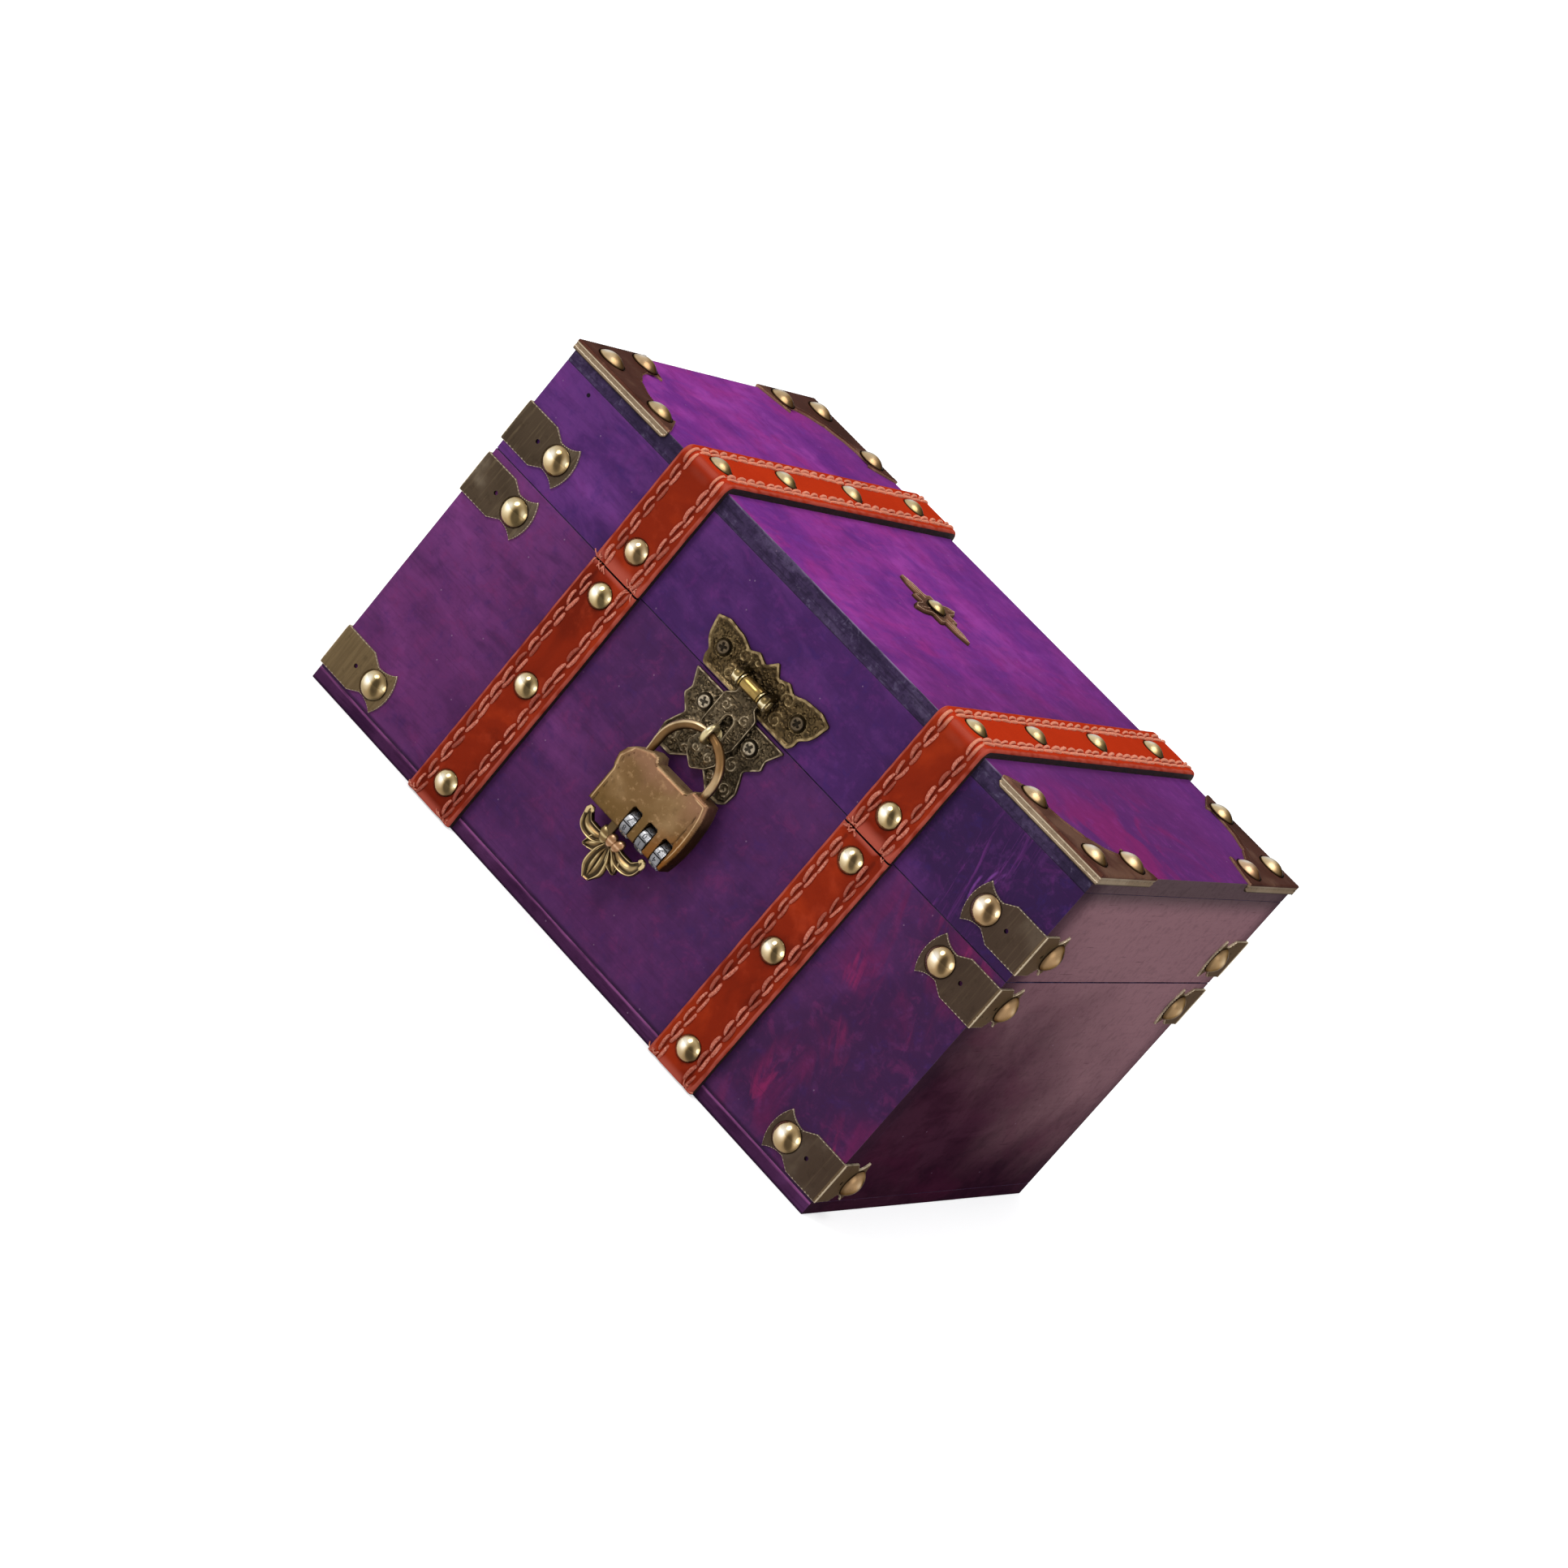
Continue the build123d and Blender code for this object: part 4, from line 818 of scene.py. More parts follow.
def strap_point(point, out, s, u, h, nails, seed, frayed):
    """A point of the strap's surface, pressed in at its stitches and nails, and its relief: rubbed at its
    edges and frayed ends, a painted highlight over the bend, painted shade in the stitch grooves and round
    the nails.
    """
    a = abs(u)
    lift, rub_and_painted_light = 0.0, 0.55
    if h > STRAP_T - 0.05:
        lift = 0.12 * bell(a - 8.3, 0.6) - 0.30 * bell(a - GROOVE, 1.1)
        # Painted shade in the stitch grooves
        rub_and_painted_light -= 0.34 * bell(a - GROOVE, 1.1)
        for nail in nails:
            d = math.hypot(s - nail, u)
            lift -= 0.30 * bell(d, 5.2)
            # Painted shade round the nail heads
            rub_and_painted_light -= 0.16 * math.exp(-(d / 4.9) ** 4)
        lift += 0.10 * noise.noise(Vector((u * 0.22, s * 0.12, seed)))
    # Painted highlight over the bend and on the lid's front and back just below it
    rub_and_painted_light += 0.36 * bell(abs(out[1]) - 0.72, 0.3) * (out[2] > 0.05)
    rub_and_painted_light += 0.20 * bell(point[2] - TOP + 1.5, 3.0) * math.exp(-(u / 5.5) ** 4) * (abs(out[2]) < 0.05)
    if a > 8.4 and h > 1.9:
        rub_and_painted_light = 0.9 + 0.25 * noise.noise(Vector((u, s * 0.3, seed)))
    rub_and_painted_light += sum(0.55 * max(0.0, 1 - abs(s - edge) / reach) for edge, reach in frayed)
    sway = 0.10 * noise.noise(Vector((s * 0.15, seed, 3 if u > 0 else 7))) if a > 8 else 0.0
    return np.array(point) + np.array(out) * max(h + lift, 0) + (u + sway, 0, 0), rub_and_painted_light


def stitch_seams(node, path, nails, seed, frayed):
    """Two rows of slanted stitches along each edge, and loose threads at the frayed ends."""
    points, outs, stops = (np.array([row[k] for row in path], float) for k in range(3))
    length = stops[-1]
    pick = random.Random(int(seed * 10))
    shape = Shape()

    def at(s, u, h):
        k = int(np.clip(np.searchsorted(stops, s) - 1, 0, len(path) - 2))
        t = (s - stops[k]) / (stops[k + 1] - stops[k])
        out = (1 - t) * outs[k] + t * outs[k + 1]
        return (1 - t) * points[k] + t * points[k + 1] + out / np.linalg.norm(out) * h + (u, 0, 0)

    for side in SIDES:
        s = 0.6 + pick.uniform(0, 0.8)
        while s < length - 4.6:
            for row in ROWS:
                lean = side if row > GROOVE else -side
                start = s - 0.7 * lean + pick.uniform(-0.35, 0.35)
                long = 5.1 + pick.uniform(-0.7, 0.4)
                bow = pick.uniform(0.1, 0.4) * lean
                slant = pick.uniform(-0.3, 0.95) * lean
                wire = 0.52 + pick.uniform(-0.10, 0.12)
                start = min(max(start, 0.3), length - long - 0.3)
                if any(math.hypot(start + long / 2 - nail, row) < 4.4 for nail in nails):
                    continue
                line, radii = [], []
                for t in np.linspace(0, 1, 9):
                    swell = math.sin(math.pi * t)
                    u = side * row + bow * (swell - 0.9) + slant * (t - 0.5)
                    line.append(at(start + long * t, u, STRAP_T - 0.50 + 0.62 * swell ** 0.35))
                    radii.append(wire * (0.85 + 0.15 * swell))
                tube(shape, line, radii, 8, tint=pick.random())
            s += STITCH + pick.uniform(-0.3, 0.3)
    for edge, _ in frayed:
        way = 1 if edge < 1 else -1
        for _ in range(9):
            u, lean, long = pick.choice(LOOSE_ENDS), pick.uniform(-2.2, 2.2), pick.uniform(0.6, 1.8)
            line = [at(edge + way * (0.3 + long * t), u + lean * t, STRAP_T - 0.1 + 0.5 * math.sin(2.6 * t))
                    for t in np.linspace(0, 1, 6)]
            tube(shape, line, 0.2, 6)
    shape.make(node + "_leather_stitches", node, [THREAD], 60, False)


def strap(node, path, nails, seed, frayed=()):
    """path has (point, outward direction, distance along), and nails are distances along it."""
    section = strap_section()
    found = [strap_point(*place, u, h, nails, seed, frayed) for place in path for u, h in section]
    finishes = []
    for _, out, _ in path[:-1]:
        for (_, h), (_, h2) in runs(section):
            finishes.append(1 if max(h, h2) < STRAP_T - 0.6 else 2 if out[2] > 0.9 else 0)
        finishes.append(1)
    shape = Shape()
    shape.add([q for q, _ in found], skin(len(path), len(section), caps=True), [rub_and_painted_light for _, rub_and_painted_light in found],
              finishes + [1, 1], True)
    shape.make(node + "_leather", node, STRAP_FINISHES[:3 if BODY[node] == "lid" else 2], 50)
    stitch_seams(node, path, nails, seed, frayed)


def strap_bend(x, sign, s):
    """The strap's bend over the lid's front or back edge, from the distance s on."""
    rows = []
    for k in range(BEND_STEPS + 1):
        a = k / BEND_STEPS * math.pi / 2
        y, z = (-math.cos(a), math.sin(a)) if sign < 0 else (math.sin(a), math.cos(a))
        point = (x, sign * (D - BEND) + BEND * y, TOP - BEND + BEND * z)
        rows.append((point, (0, y, z), s + BEND_LONG * k / BEND_STEPS))
    return rows


def lid_strap(x):
    """The path up the front, over the top and down the back, and the distances of its nails."""
    high = TOP - BEND
    over = high - LID_BOTTOM + BEND_LONG
    down = over + 2 * (D - BEND) + BEND_LONG
    path = [((x, -D, z), (0, -1, 0), z - LID_BOTTOM) for z in np.arange(LID_BOTTOM, high, STRAP_STEP)]
    path += strap_bend(x, -1, high - LID_BOTTOM)
    for y in np.arange(STRAP_STEP + BEND - D, D - BEND, STRAP_STEP):
        path.append(((x, y, TOP), (0, 0, 1), over + y + D - BEND))
    path += strap_bend(x, 1, down - BEND_LONG)
    for z in np.arange(high - STRAP_STEP, LID_BOTTOM - 0.01, -STRAP_STEP):
        path.append(((x, D, z), (0, 1, 0), down + high - z))
    return path, [LID_NAIL - LID_BOTTOM] + [over + y + D - BEND for y in TOP_NAILS] + [down + high - LID_NAIL]


for side, word in zip(SIDES, ("left", "right")):
    x = side * STRAP_X
    heights = np.arange(STRAP_FOOT, BASE_TOP + 0.01, STRAP_STEP)
    path = [((x, -D, z), (0, -1, 0), z - STRAP_FOOT) for z in heights]
    strap(f"base_strap_front_{word}", path, [z - STRAP_FOOT for z in BASE_NAILS], 1.3 + side,
          ((BASE_TOP - STRAP_FOOT, 3.0), (0.0, 4.0)))
    path = [((x, D, z), (0, 1, 0), BASE_TOP - z) for z in heights[::-1]]
    strap(f"base_strap_back_{word}", path, [BASE_TOP - z for z in BASE_NAILS], 4.7 + side)
    strap(f"lid_strap_{word}", *lid_strap(x), 8.1 + side, ((0.0, 6.0),))

# Dome nails: radius and height of each kind
STRAP_NAIL = (4.2, 2.6)
SHEET_NAIL = (4.8, 2.8)
EMBLEM_NAIL = (3.6, 2.2)
DOME_TURNS = 40
# Directions of the painted shade and of the painted highlight on the nail heads
SHADED_WAY = (0.80, 0.44, 0.41)
LIT_WAY = (-0.78, -0.12, 0.60)
SHEET = 0.8
CLIP_LONG = 24.3
CLIP_SHORT = 17.6
CLIP_HALF = 7.25
LONG_NAIL = 18.0
SHORT_NAIL = 13.6
LOW_CLIP, HIGH_CLIP, LID_CLIP = 12.7, 81.0, 101.0
PLATE_NAILS = ((31.0, 5.3), (7.5, 7.5), (5.3, 31.0))
EMBLEM_PLACE = (-3.7, -2.8)


def flattened(way, axis):
    """A direction turned square to an axis."""
    way = np.array(way) - axis * (way @ axis)
    return way / np.linalg.norm(way)


def dome(shape, place, size, seed):
    """A slightly uneven dome head. Its relief is 0 at its foot and carries painted light: a painted highlight
    on one side, painted shade on a patch on the other with a painted glint near the rim beyond it, painted
    shade towards the rim, and darker heads on the ends and the lid's top.
    """
    radius, high = size
    ball = ((radius - 0.06) ** 2 + (high - 0.42) ** 2) / (2 * (high - 0.42))
    radius, high = radius - 0.02, high - 0.02
    axis = place.ez
    on_top, level = axis[2] > 0.9, abs(axis[1]) < 0.5
    copper = 0.0
    if size is SHEET_NAIL:
        copper = 0.34 if level else 0.12 if place.o[0] > 90 else 0.0
    tint = min(1.0, max(0.0, rng.gauss(0.05, 0.07) + copper))
    if on_top:
        high *= 0.82
    profile = [(radius - 0.3, 0.0), (radius, 0.1), (radius, 0.30)]
    for a in np.linspace(math.asin((radius - 0.06) / ball), 0.04, 14):
        profile.append((ball * math.sin(a), high - ball + ball * math.cos(a)))
    shaded_way, lit_way = flattened(SHADED_WAY, axis), flattened(LIT_WAY, axis)
    spin, shade_patch_size = rng.uniform(-0.3, 0.3), rng.uniform(0.85, 1.15)
    r, z = np.repeat(profile, DOME_TURNS, axis=0).T
    a = np.tile(around(DOME_TURNS), len(profile))
    q = np.outer(np.cos(a) * r, place.ex) + np.outer(np.sin(a) * r, np.cross(axis, place.ex))
    q /= radius

    def light_spot(middle, width):
        return bell(np.linalg.norm(q - middle, axis=1), width)

    u = q @ shaded_way
    v = q @ np.cross(axis, shaded_way) + spin * u
    # Painted light: a highlight on one side of the head, shade on a patch on the other, a glint near the rim
    # beyond that patch, and shade towards the rim
    if on_top:
        value = 0.66 + 0.42 * light_spot(lit_way * 0.5, 0.55) - 0.55 * np.maximum(0.0, u + 0.1)
    else:
        value = 0.58 + 0.10 * (q @ lit_way) + 0.40 * light_spot(lit_way * 0.26, 0.46) + 0.34 * light_spot(shaded_way * 0.84, 0.28)
        value -= 0.80 * bell(u - 0.40, 0.24 * shade_patch_size) * bell(v + 0.06, 0.50)
        value -= 0.30 * np.maximum(0.0, (r / radius - 0.84) / 0.16)
    # Painted shade: heads on the ends are darker, and those on the lid's top a little darker
    value = np.maximum(value * (0.92 if on_top else 0.72 if level else 1.0), 0.15) * (z > 0.31)
    lathe(shape, place.o, axis, place.ex, profile, DOME_TURNS, value, int(level), 0.05, seed, tint)


def nail_group(node, places, size):
    shape = Shape()
    for k, place in enumerate(places):
        dome(shape, place, size, k * 1.7 + len(node))
    shape.make(node + "_domes", node, NAIL_FINISHES, 60)


def strap_places(face, heights):
    return [face(side * STRAP_X, z, STRAP_T - 0.3) for side in SIDES for z in heights]


def clip_places(rows):
    """rows has (end, height): end is -1 at the front and 1 at the back."""
    found = []
    for side in SIDES:
        for e, z in rows:
            found.append((front if e < 0 else back)(side * (W - LONG_NAIL), z, SHEET))
            found.append(end(side, e * (D - SHORT_NAIL), z, SHEET))
    return found


nail_group("base_strap_nails", strap_places(front, BASE_NAILS) + strap_places(back, BASE_NAILS), STRAP_NAIL)
nail_group("lid_strap_nails", strap_places(front, (LID_NAIL,)) + strap_places(back, (LID_NAIL,))
           + strap_places(top, TOP_NAILS), STRAP_NAIL)
nail_group("base_clip_nails", clip_places(((-1, LOW_CLIP), (-1, HIGH_CLIP), (1, HIGH_CLIP))), SHEET_NAIL)
nail_group("lid_clip_nails", clip_places(((-1, LID_CLIP), (1, LID_CLIP))), SHEET_NAIL)
plate_nails = [top(side * (W - a), e * (D - b), SHEET) for side, e in CORNERS for a, b in PLATE_NAILS]
nail_group("lid_plate_nails", plate_nails, SHEET_NAIL)
nail_group("lid_emblem_nail", [top(*EMBLEM_PLACE, 1.2)], EMBLEM_NAIL)


# Corner clips
def arc3(a, b, c, n=9):
    """Points on the circle through three points, without the last one."""
    (ax, ay), (bx, by), (cx, cy) = a, b, c
    d = 2 * (ax * (by - cy) + bx * (cy - ay) + cx * (ay - by))
    aa, bb, cc = ax * ax + ay * ay, bx * bx + by * by, cx * cx + cy * cy
    ux = (aa * (by - cy) + bb * (cy - ay) + cc * (ay - by)) / d
    uy = (aa * (cx - bx) + bb * (ax - cx) + cc * (bx - ax)) / d
    first, middle, last = (math.atan2(y - uy, x - ux) for x, y in (a, b, c))
    sweep = (last - first) % (2 * math.pi)
    if (middle - first) % (2 * math.pi) > sweep:
        sweep -= 2 * math.pi
    return circle_points(ux, uy, math.hypot(ax - ux, ay - uy), [first + sweep * k / n for k in range(n)])


def circle_points(x, y, r, angles):
    return [(x + r * math.cos(a), y + r * math.sin(a)) for a in angles]


def flap_loop(length, start):
    """A flap with a waist, two horns and a round nose."""
    neck = (0.64 * length, 0.68 * CLIP_HALF)
    curve = (0.78 * length, 0.74 * CLIP_HALF)
    horn = (0.91 * length, CLIP_HALF)
    low_neck, low_curve, low_horn = ((u, -v) for u, v in (neck, curve, horn))
    waist = 0.48 * length
    return ([(start, -CLIP_HALF), (start, CLIP_HALF), (waist, CLIP_HALF)] + arc3(neck, curve, horn)
            + arc3(horn, (length, 0), low_horn) + arc3(low_horn, low_curve, low_neck)
            + [low_neck, (waist, -CLIP_HALF)])


def edge_bright(d):
    """Rubbed bright along an edge."""
    return 1.0 - 0.4 * np.clip(d / 0.42, 0, 1)


def sheet_flap(shape, place, length, fold, hole, seed):
    """A flat flap of stamped sheet: its edges are rounded, except at its fold."""
    loop = flap_loop(length, fold)
    rim = [(a, b) for a, b in pairs(loop) if max(a[0], b[0]) > fold + 0.01]

    def height(p):
        d = distance(p, rim)
        return rounded(d, 0.28, SHEET) + 0.05 * wave(p, 0.25, seed, seed) * np.clip(d / 1.5, 0, 1)

    def shade(p, h):
        return edge_bright(np.minimum(distance(p, rim), np.abs(p[:, 0] - fold) * 0.8))

    holes = [circle_points(hole, 0, 0.7, around(16))]
    plate(shape, place, [loop] + holes, height, shade, 1.4, (0.12, 0.28, 0.6))


def clip(node, side, e, z, seed):
    """A corner clip: its long flap lies on the front or back and its short one on the end."""
    shape = Shape()
    corner = (side * W, e * D, z)
    sheet_flap(shape, Place(corner, (-side, 0, 0), (0, 0, 1), (0, e, 0)), CLIP_LONG, -SHEET, 9.5, seed)
    sheet_flap(shape, Place(corner, (0, -e, 0), (0, 0, 1), (side, 0, 0)), CLIP_SHORT, 0.0, 6.6, seed + 2)
    shape.make(node + "_sheet", node, [METAL["bronze_sheet"]], 35)


WORDS = {-1: {-1: "front_left", 1: "back_left"}, 1: {-1: "front_right", 1: "back_right"}}
for k, (side, e) in enumerate(CORNERS):
    word = WORDS[side][e]
    if e < 0:
        clip(f"base_low_clip_{word}", side, e, LOW_CLIP, k + 0.3)
    clip(f"base_high_clip_{word}", side, e, HIGH_CLIP, k + 5.3)
    clip(f"lid_clip_{word}", side, e, LID_CLIP, k + 9.3)

# Corner plates of the lid
ARM = 40.0
RIM = 2.7
RIM_CUT = 1.2
ARM_SHARES = ((1.0, 0.0), (0.98, 0.05), (0.85, 0.29), (0.81, 0.22), (0.68, 0.235), (0.55, 0.28),
              (0.42, 0.375), (0.385, 0.385))


def corner_plate(side, e, seed):
    """A plate with two arms and a beaded edge, and a rim folded down over both sides of its corner."""
    shape = Shape()
    corner = (side * W, e * D, TOP)
    along = [(ARM * u, ARM * v) for u, v in ARM_SHARES]
    across = [(v, u) for u, v in reversed(along)]
    loop = [(-SHEET, -SHEET), (ARM, -SHEET)] + along + across[1:] + [(-SHEET, ARM)]
    inner = [(a, b) for a, b in pairs(loop) if max(a[1], b[1]) >= 0 and max(a[0], b[0]) >= 0]

    def height(p):
        d = distance(p, pairs(loop))
        bead = 0.16 * bell(distance(p, inner) - 1.3, 0.4)
        return rounded(d, 0.28, SHEET) + (bead + 0.06 * wave(p, 0.2, seed, seed)) * np.clip(d, 0, 1)

    plate(shape, Place(corner, (-side, 0, 0), (0, -e, 0), (0, 0, 1)), [loop], height,
          lambda p, h: edge_bright(distance(p, inner)), 1.3, (0.12, 0.28, 0.6, 1.0, 1.4, 1.8))
    # Each rim's directions, start and share of painted light; the end side's share is lower, so darker
    rims = (((-side, 0, 0), (0, e, 0), -SHEET, 1.0), ((0, -e, 0), (side, 0, 0), 0.0, 0.84))
    for ex, ez, start, share in rims:
        strip = [(start, 0.0), (ARM, 0.0), (ARM, RIM_CUT - RIM), (ARM - RIM_CUT, -RIM), (start, -RIM)]
        free = [(a, b) for a, b in pairs(strip) if min(a[1], b[1]) < 0 and max(a[0], b[0]) > start]

        def rim_height(p):
            return rounded(distance(p, free), 0.25, SHEET) - 0.30 * bell(p[:, 1] + 0.95, 0.35)

        # Painted light on the rim: highlights along its upper bead and its lower band, painted shade in the
        # groove between and along its lower edge
        def rim_shade(p, h):
            z = p[:, 1]
            wear_and_painted_light = 0.25 + 0.9 * bell(z + 0.35, 0.25) + 0.75 * bell(z + 1.7, 0.5)
            return share * np.clip(wear_and_painted_light - 0.3 * bell(distance(p, free), 0.3) * (z < -1), 0, 1)

        place = Place(corner, ex, (0, 0, 1), ez)
        plate(shape, place, [strip], rim_height, rim_shade, 0.5, (0.12, 0.28, 0.6), mat=1)
    node = f"lid_plate_{WORDS[side][e]}"
    shape.make(node + "_sheet", node, [METAL["bronze_plate"], METAL["bronze_plate_rim"]], 35)


for k, (side, e) in enumerate(CORNERS):
    corner_plate(side, e, k * 2.1)

# Ornament in the middle of the lid
EMBLEM_R = 16.0
EMBLEM_FLAT = 0.88
EMBLEM_SHARES = (1.0, 0.74, 0.43, 0.50, 0.58, 0.50, 0.43, 0.74) * 4
emblem_loop = [(EMBLEM_R * r * math.cos(a), EMBLEM_FLAT * EMBLEM_R * r * math.sin(a))
               for r, a in zip(EMBLEM_SHARES, around(len(EMBLEM_SHARES)))]
emblem_loop = cut_corners(emblem_loop, 0.16)


def emblem_height(p):
    """A raised rim, four long ridges and four short ones."""
    d = distance(p, pairs(emblem_loop))
    x, y = p[:, 0], p[:, 1] / EMBLEM_FLAT
    r, a = np.hypot(x, y), np.arctan2(y, x)
    rim = 0.42 * bell(d - 0.55, 0.38)
    long = 0.45 * bell(np.sin(2 * a) * r / 1.5, 0.55) * (r > 4.5)
    short = 0.35 * bell(np.cos(2 * a) * r / 1.5, 0.55) * (r > 4.5) * (r < 8)
    return np.minimum(rounded(d, 0.3, 0.85) - 0.1 + np.maximum(rim, np.maximum(long, short)), 1.2)


shape = Shape()
plate(shape, top(*EMBLEM_PLACE), [emblem_loop], emblem_height,
      lambda p, h: np.clip(0.35 + (h - 0.62) * 1.1, 0.2, 1), 0.5, (0.12, 0.3, 0.55, 0.85))
shape.make("lid_emblem_cast", "lid_emblem", [METAL["bronze_emblem"]], 40)

# Butterfly hasp
UPPER_SHARES = ((0.0, 0.0), (0.76, 0.0), (0.81, 0.13), (0.81, 0.25), (0.91, 0.40), (0.95, 0.52), (1.0, 0.83),
                (0.83, 0.92), (0.56, 0.88), (0.39, 0.78), (0.27, 0.88), (0.12, 0.79), (0.0, 1.0))
LOWER_SHARES = ((0.0, 0.0), (1.0, 0.0), (0.85, 0.22), (0.89, 0.34), (0.67, 0.50), (0.73, 0.59), (0.82, 0.75),
                (0.79, 0.93), (0.68, 1.0), (0.42, 1.0), (0.16, 0.83), (0.0, 0.79))
TONGUE_SHARES = ((0.60, 0.14), (1.0, 0.22), (1.0, 0.58), (0.72, 0.70), (0.88, 0.80), (0.60, 0.90), (0.0, 1.0))
HASP_T = 1.2
HASP_LOW = 0.46
HASP_STEP = 0.36
HASP_RINGS = (0.12, 0.3, 0.6)
AXIS_Z = 97.15
AXIS_OUT = 3.8
EAR_R = 2.6
UPPER_SCREW = (16.2, 7.7)
LOWER_SCREW = (9.9, -6.0)
UPPER_Z = corners("hasp_upper_plate")[0, 2]
LOWER_Z = corners("hasp_lower_plate")[1, 2]


def mirrored(right):
    return right + [(-u, v) for u, v in reversed(right) if u > 0]


def hasp_loop(points):
    """An outline from its right half, with its corners slightly rounded."""
    return cut_corners(resample(mirrored(points), 3.0), 0.18)


def spiral(x, y, r0, r1, start, turns, n=26):
    """A scroll line from radius r0 to r1, and the same one on the left."""
    line = []
    for t in np.linspace(0, 1, n):
        line += circle_points(x, y, r0 + (r1 - r0) * t, [math.radians(start) + 2 * math.pi * turns * t])
    return runs(line) + runs([(-u, v) for u, v in line])


def scroll_height(loop, scrolls, screws, seed, rim):
    """Cast foliage: curling ridges and grains inside a smooth border, and round seats for the screws."""
    def height(p):
        d = distance(p, pairs(loop))
        grain = wave(p, 1.15, seed, seed)
        curl = wave(p, 0.5, seed * 2, seed + 5)
        ridge = np.maximum(bell(curl, 0.10), bell(np.abs(curl) - 0.34, 0.07))
        h = HASP_LOW + 0.24 * grain
        h = np.maximum(h, HASP_LOW + (0.44 + 0.25 * grain) * ridge)
        h = np.maximum(h, HASP_LOW + (0.60 + 0.2 * grain) * bell(distance(p, scrolls), 0.50))
        h -= 0.22 * bell(d - 1.25 * rim, 0.26)
        border = bell(np.clip(d - rim * 0.6, 0, None), rim * 0.3)
        h = np.maximum(h, HASP_LOW + (HASP_T - 0.2 - HASP_LOW + 0.16 * curl) * border)
        for x, y in screws:
            seat = np.hypot(p[:, 0] - x, p[:, 1] - y)
            h = np.where(seat < 3.2, HASP_LOW + 0.1 + 0.5 * bell(seat - 2.9, 0.3), h)
        return np.clip(np.minimum(h, rounded(d, 0.3, HASP_T)), 0.2, HASP_T)
    return height


def hasp_shade(shadow=0.0):
    """Bright where it is raised. shadow darkens the part that lies behind the barrel."""
    def shade(p, h):
        behind = np.exp(-((p[:, 1] - 6.0) / 3.4) ** 4) * (np.abs(p[:, 0]) < 9)
        return np.clip((h - HASP_LOW + 0.12) / (HASP_T - HASP_LOW - 0.02) - shadow * behind, 0, 1)
    return shade


def both_sides(x, y):
    return [(side * x, y) for side in SIDES]


def ear(shape, middle, half):
    """A loop of the plate that wraps the barrel's pin."""
    curl = circle_points(AXIS_OUT, 0, EAR_R, np.linspace(-math.pi / 2, math.pi / 2, 15))
    foot = EAR_R + 0.5
    loop = [(1.0, -foot), (AXIS_OUT - 1.6, -EAR_R)] + curl
    loop += [(AXIS_OUT - 1.6, EAR_R), (1.0, foot), (0.2, foot), (0.2, -foot)]

    # Painted light and shade: brighter where the loop faces out and down, with a painted highlight there, and
    # darker towards its edges
    def shade(p, h):
        facing = ((p[:, 0] - AXIS_OUT) * 0.7 - p[:, 1] * 0.7) / EAR_R
        return np.clip(0.50 + 0.5 * facing + 0.5 * bell(facing - 0.75, 0.2) - 0.4 * (h < half - 0.5), 0, 1)

    plate(shape, Place((middle, -D, AXIS_Z), (0, -1, 0), (0, 0, 1)), [loop],
          lambda p: rounded(distance(p, pairs(loop)), 0.8, half), shade, 0.5, (0.15, 0.35, 0.6, 0.85),
          True, 1)


upper_loop = hasp_loop([(24.2 * u, 16.3 * v) for u, v in UPPER_SHARES])
scrolls = spiral(10.0, 3.6, 2.6, 0.5, 60, 1.4) + spiral(9.4, 10.2, 2.4, 0.5, 200, -1.3)
scrolls += spiral(5.0, 11.6, 1.5, 0.4, 20, 1.1)
shape = Shape()
relief = scroll_height(upper_loop, scrolls, both_sides(*UPPER_SCREW), 1.0, 1.25)
plate(shape, front(0, UPPER_Z), [upper_loop], relief, hasp_shade(0.28), HASP_STEP, HASP_RINGS)
for side in SIDES:
    ear(shape, side * 5.85, 1.3)
shape.make("hasp_upper_relief", "hasp_upper_plate", [METAL["bronze_stamped"], METAL["brass_knob"]], 45)

lower_loop = hasp_loop([(19.0 * u, -24.8 * v) for u, v in LOWER_SHARES])
scrolls = spiral(8.9, -13.4, 2.4, 0.5, 100, 1.4) + spiral(11.6, -20.0, 2.2, 0.5, -60, 1.4)
scrolls += spiral(5.6, -20.2, 1.6, 0.4, 140, -1.2)
shape = Shape()
relief = scroll_height(lower_loop, scrolls, both_sides(*LOWER_SCREW), 4.0, 0.8)
plate(shape, front(0, LOWER_Z), [lower_loop], relief, hasp_shade(), HASP_STEP, HASP_RINGS)
shape.make("hasp_lower_relief", "hasp_lower_plate", [METAL["bronze_grey"]], 45)

tongue_loop = hasp_loop([(0, 0), (4.3, 0)] + [(6.8 * u, -30.2 * v) for u, v in TONGUE_SHARES])
slot_loop = circle_points(0, -12.3, 1.5, np.linspace(0, math.pi, 9))
slot_loop += circle_points(0, -19.5, 1.5, np.linspace(math.pi, 2 * math.pi, 9))
scrolls = spiral(3.9, -9.0, 1.8, 0.4, 60, 1.3) + spiral(2.6, -24.2, 1.5, 0.4, 120, 1.2)
tongue_relief = scroll_height(tongue_loop, scrolls, (), 7.0, 0.6)


def tongue_height(p):
    d = distance(p, pairs(slot_loop))
    return np.minimum(np.maximum(tongue_relief(p), 0.5 + 0.6 * bell(d - 0.5, 0.4)), rounded(d, 0.25, HASP_T))


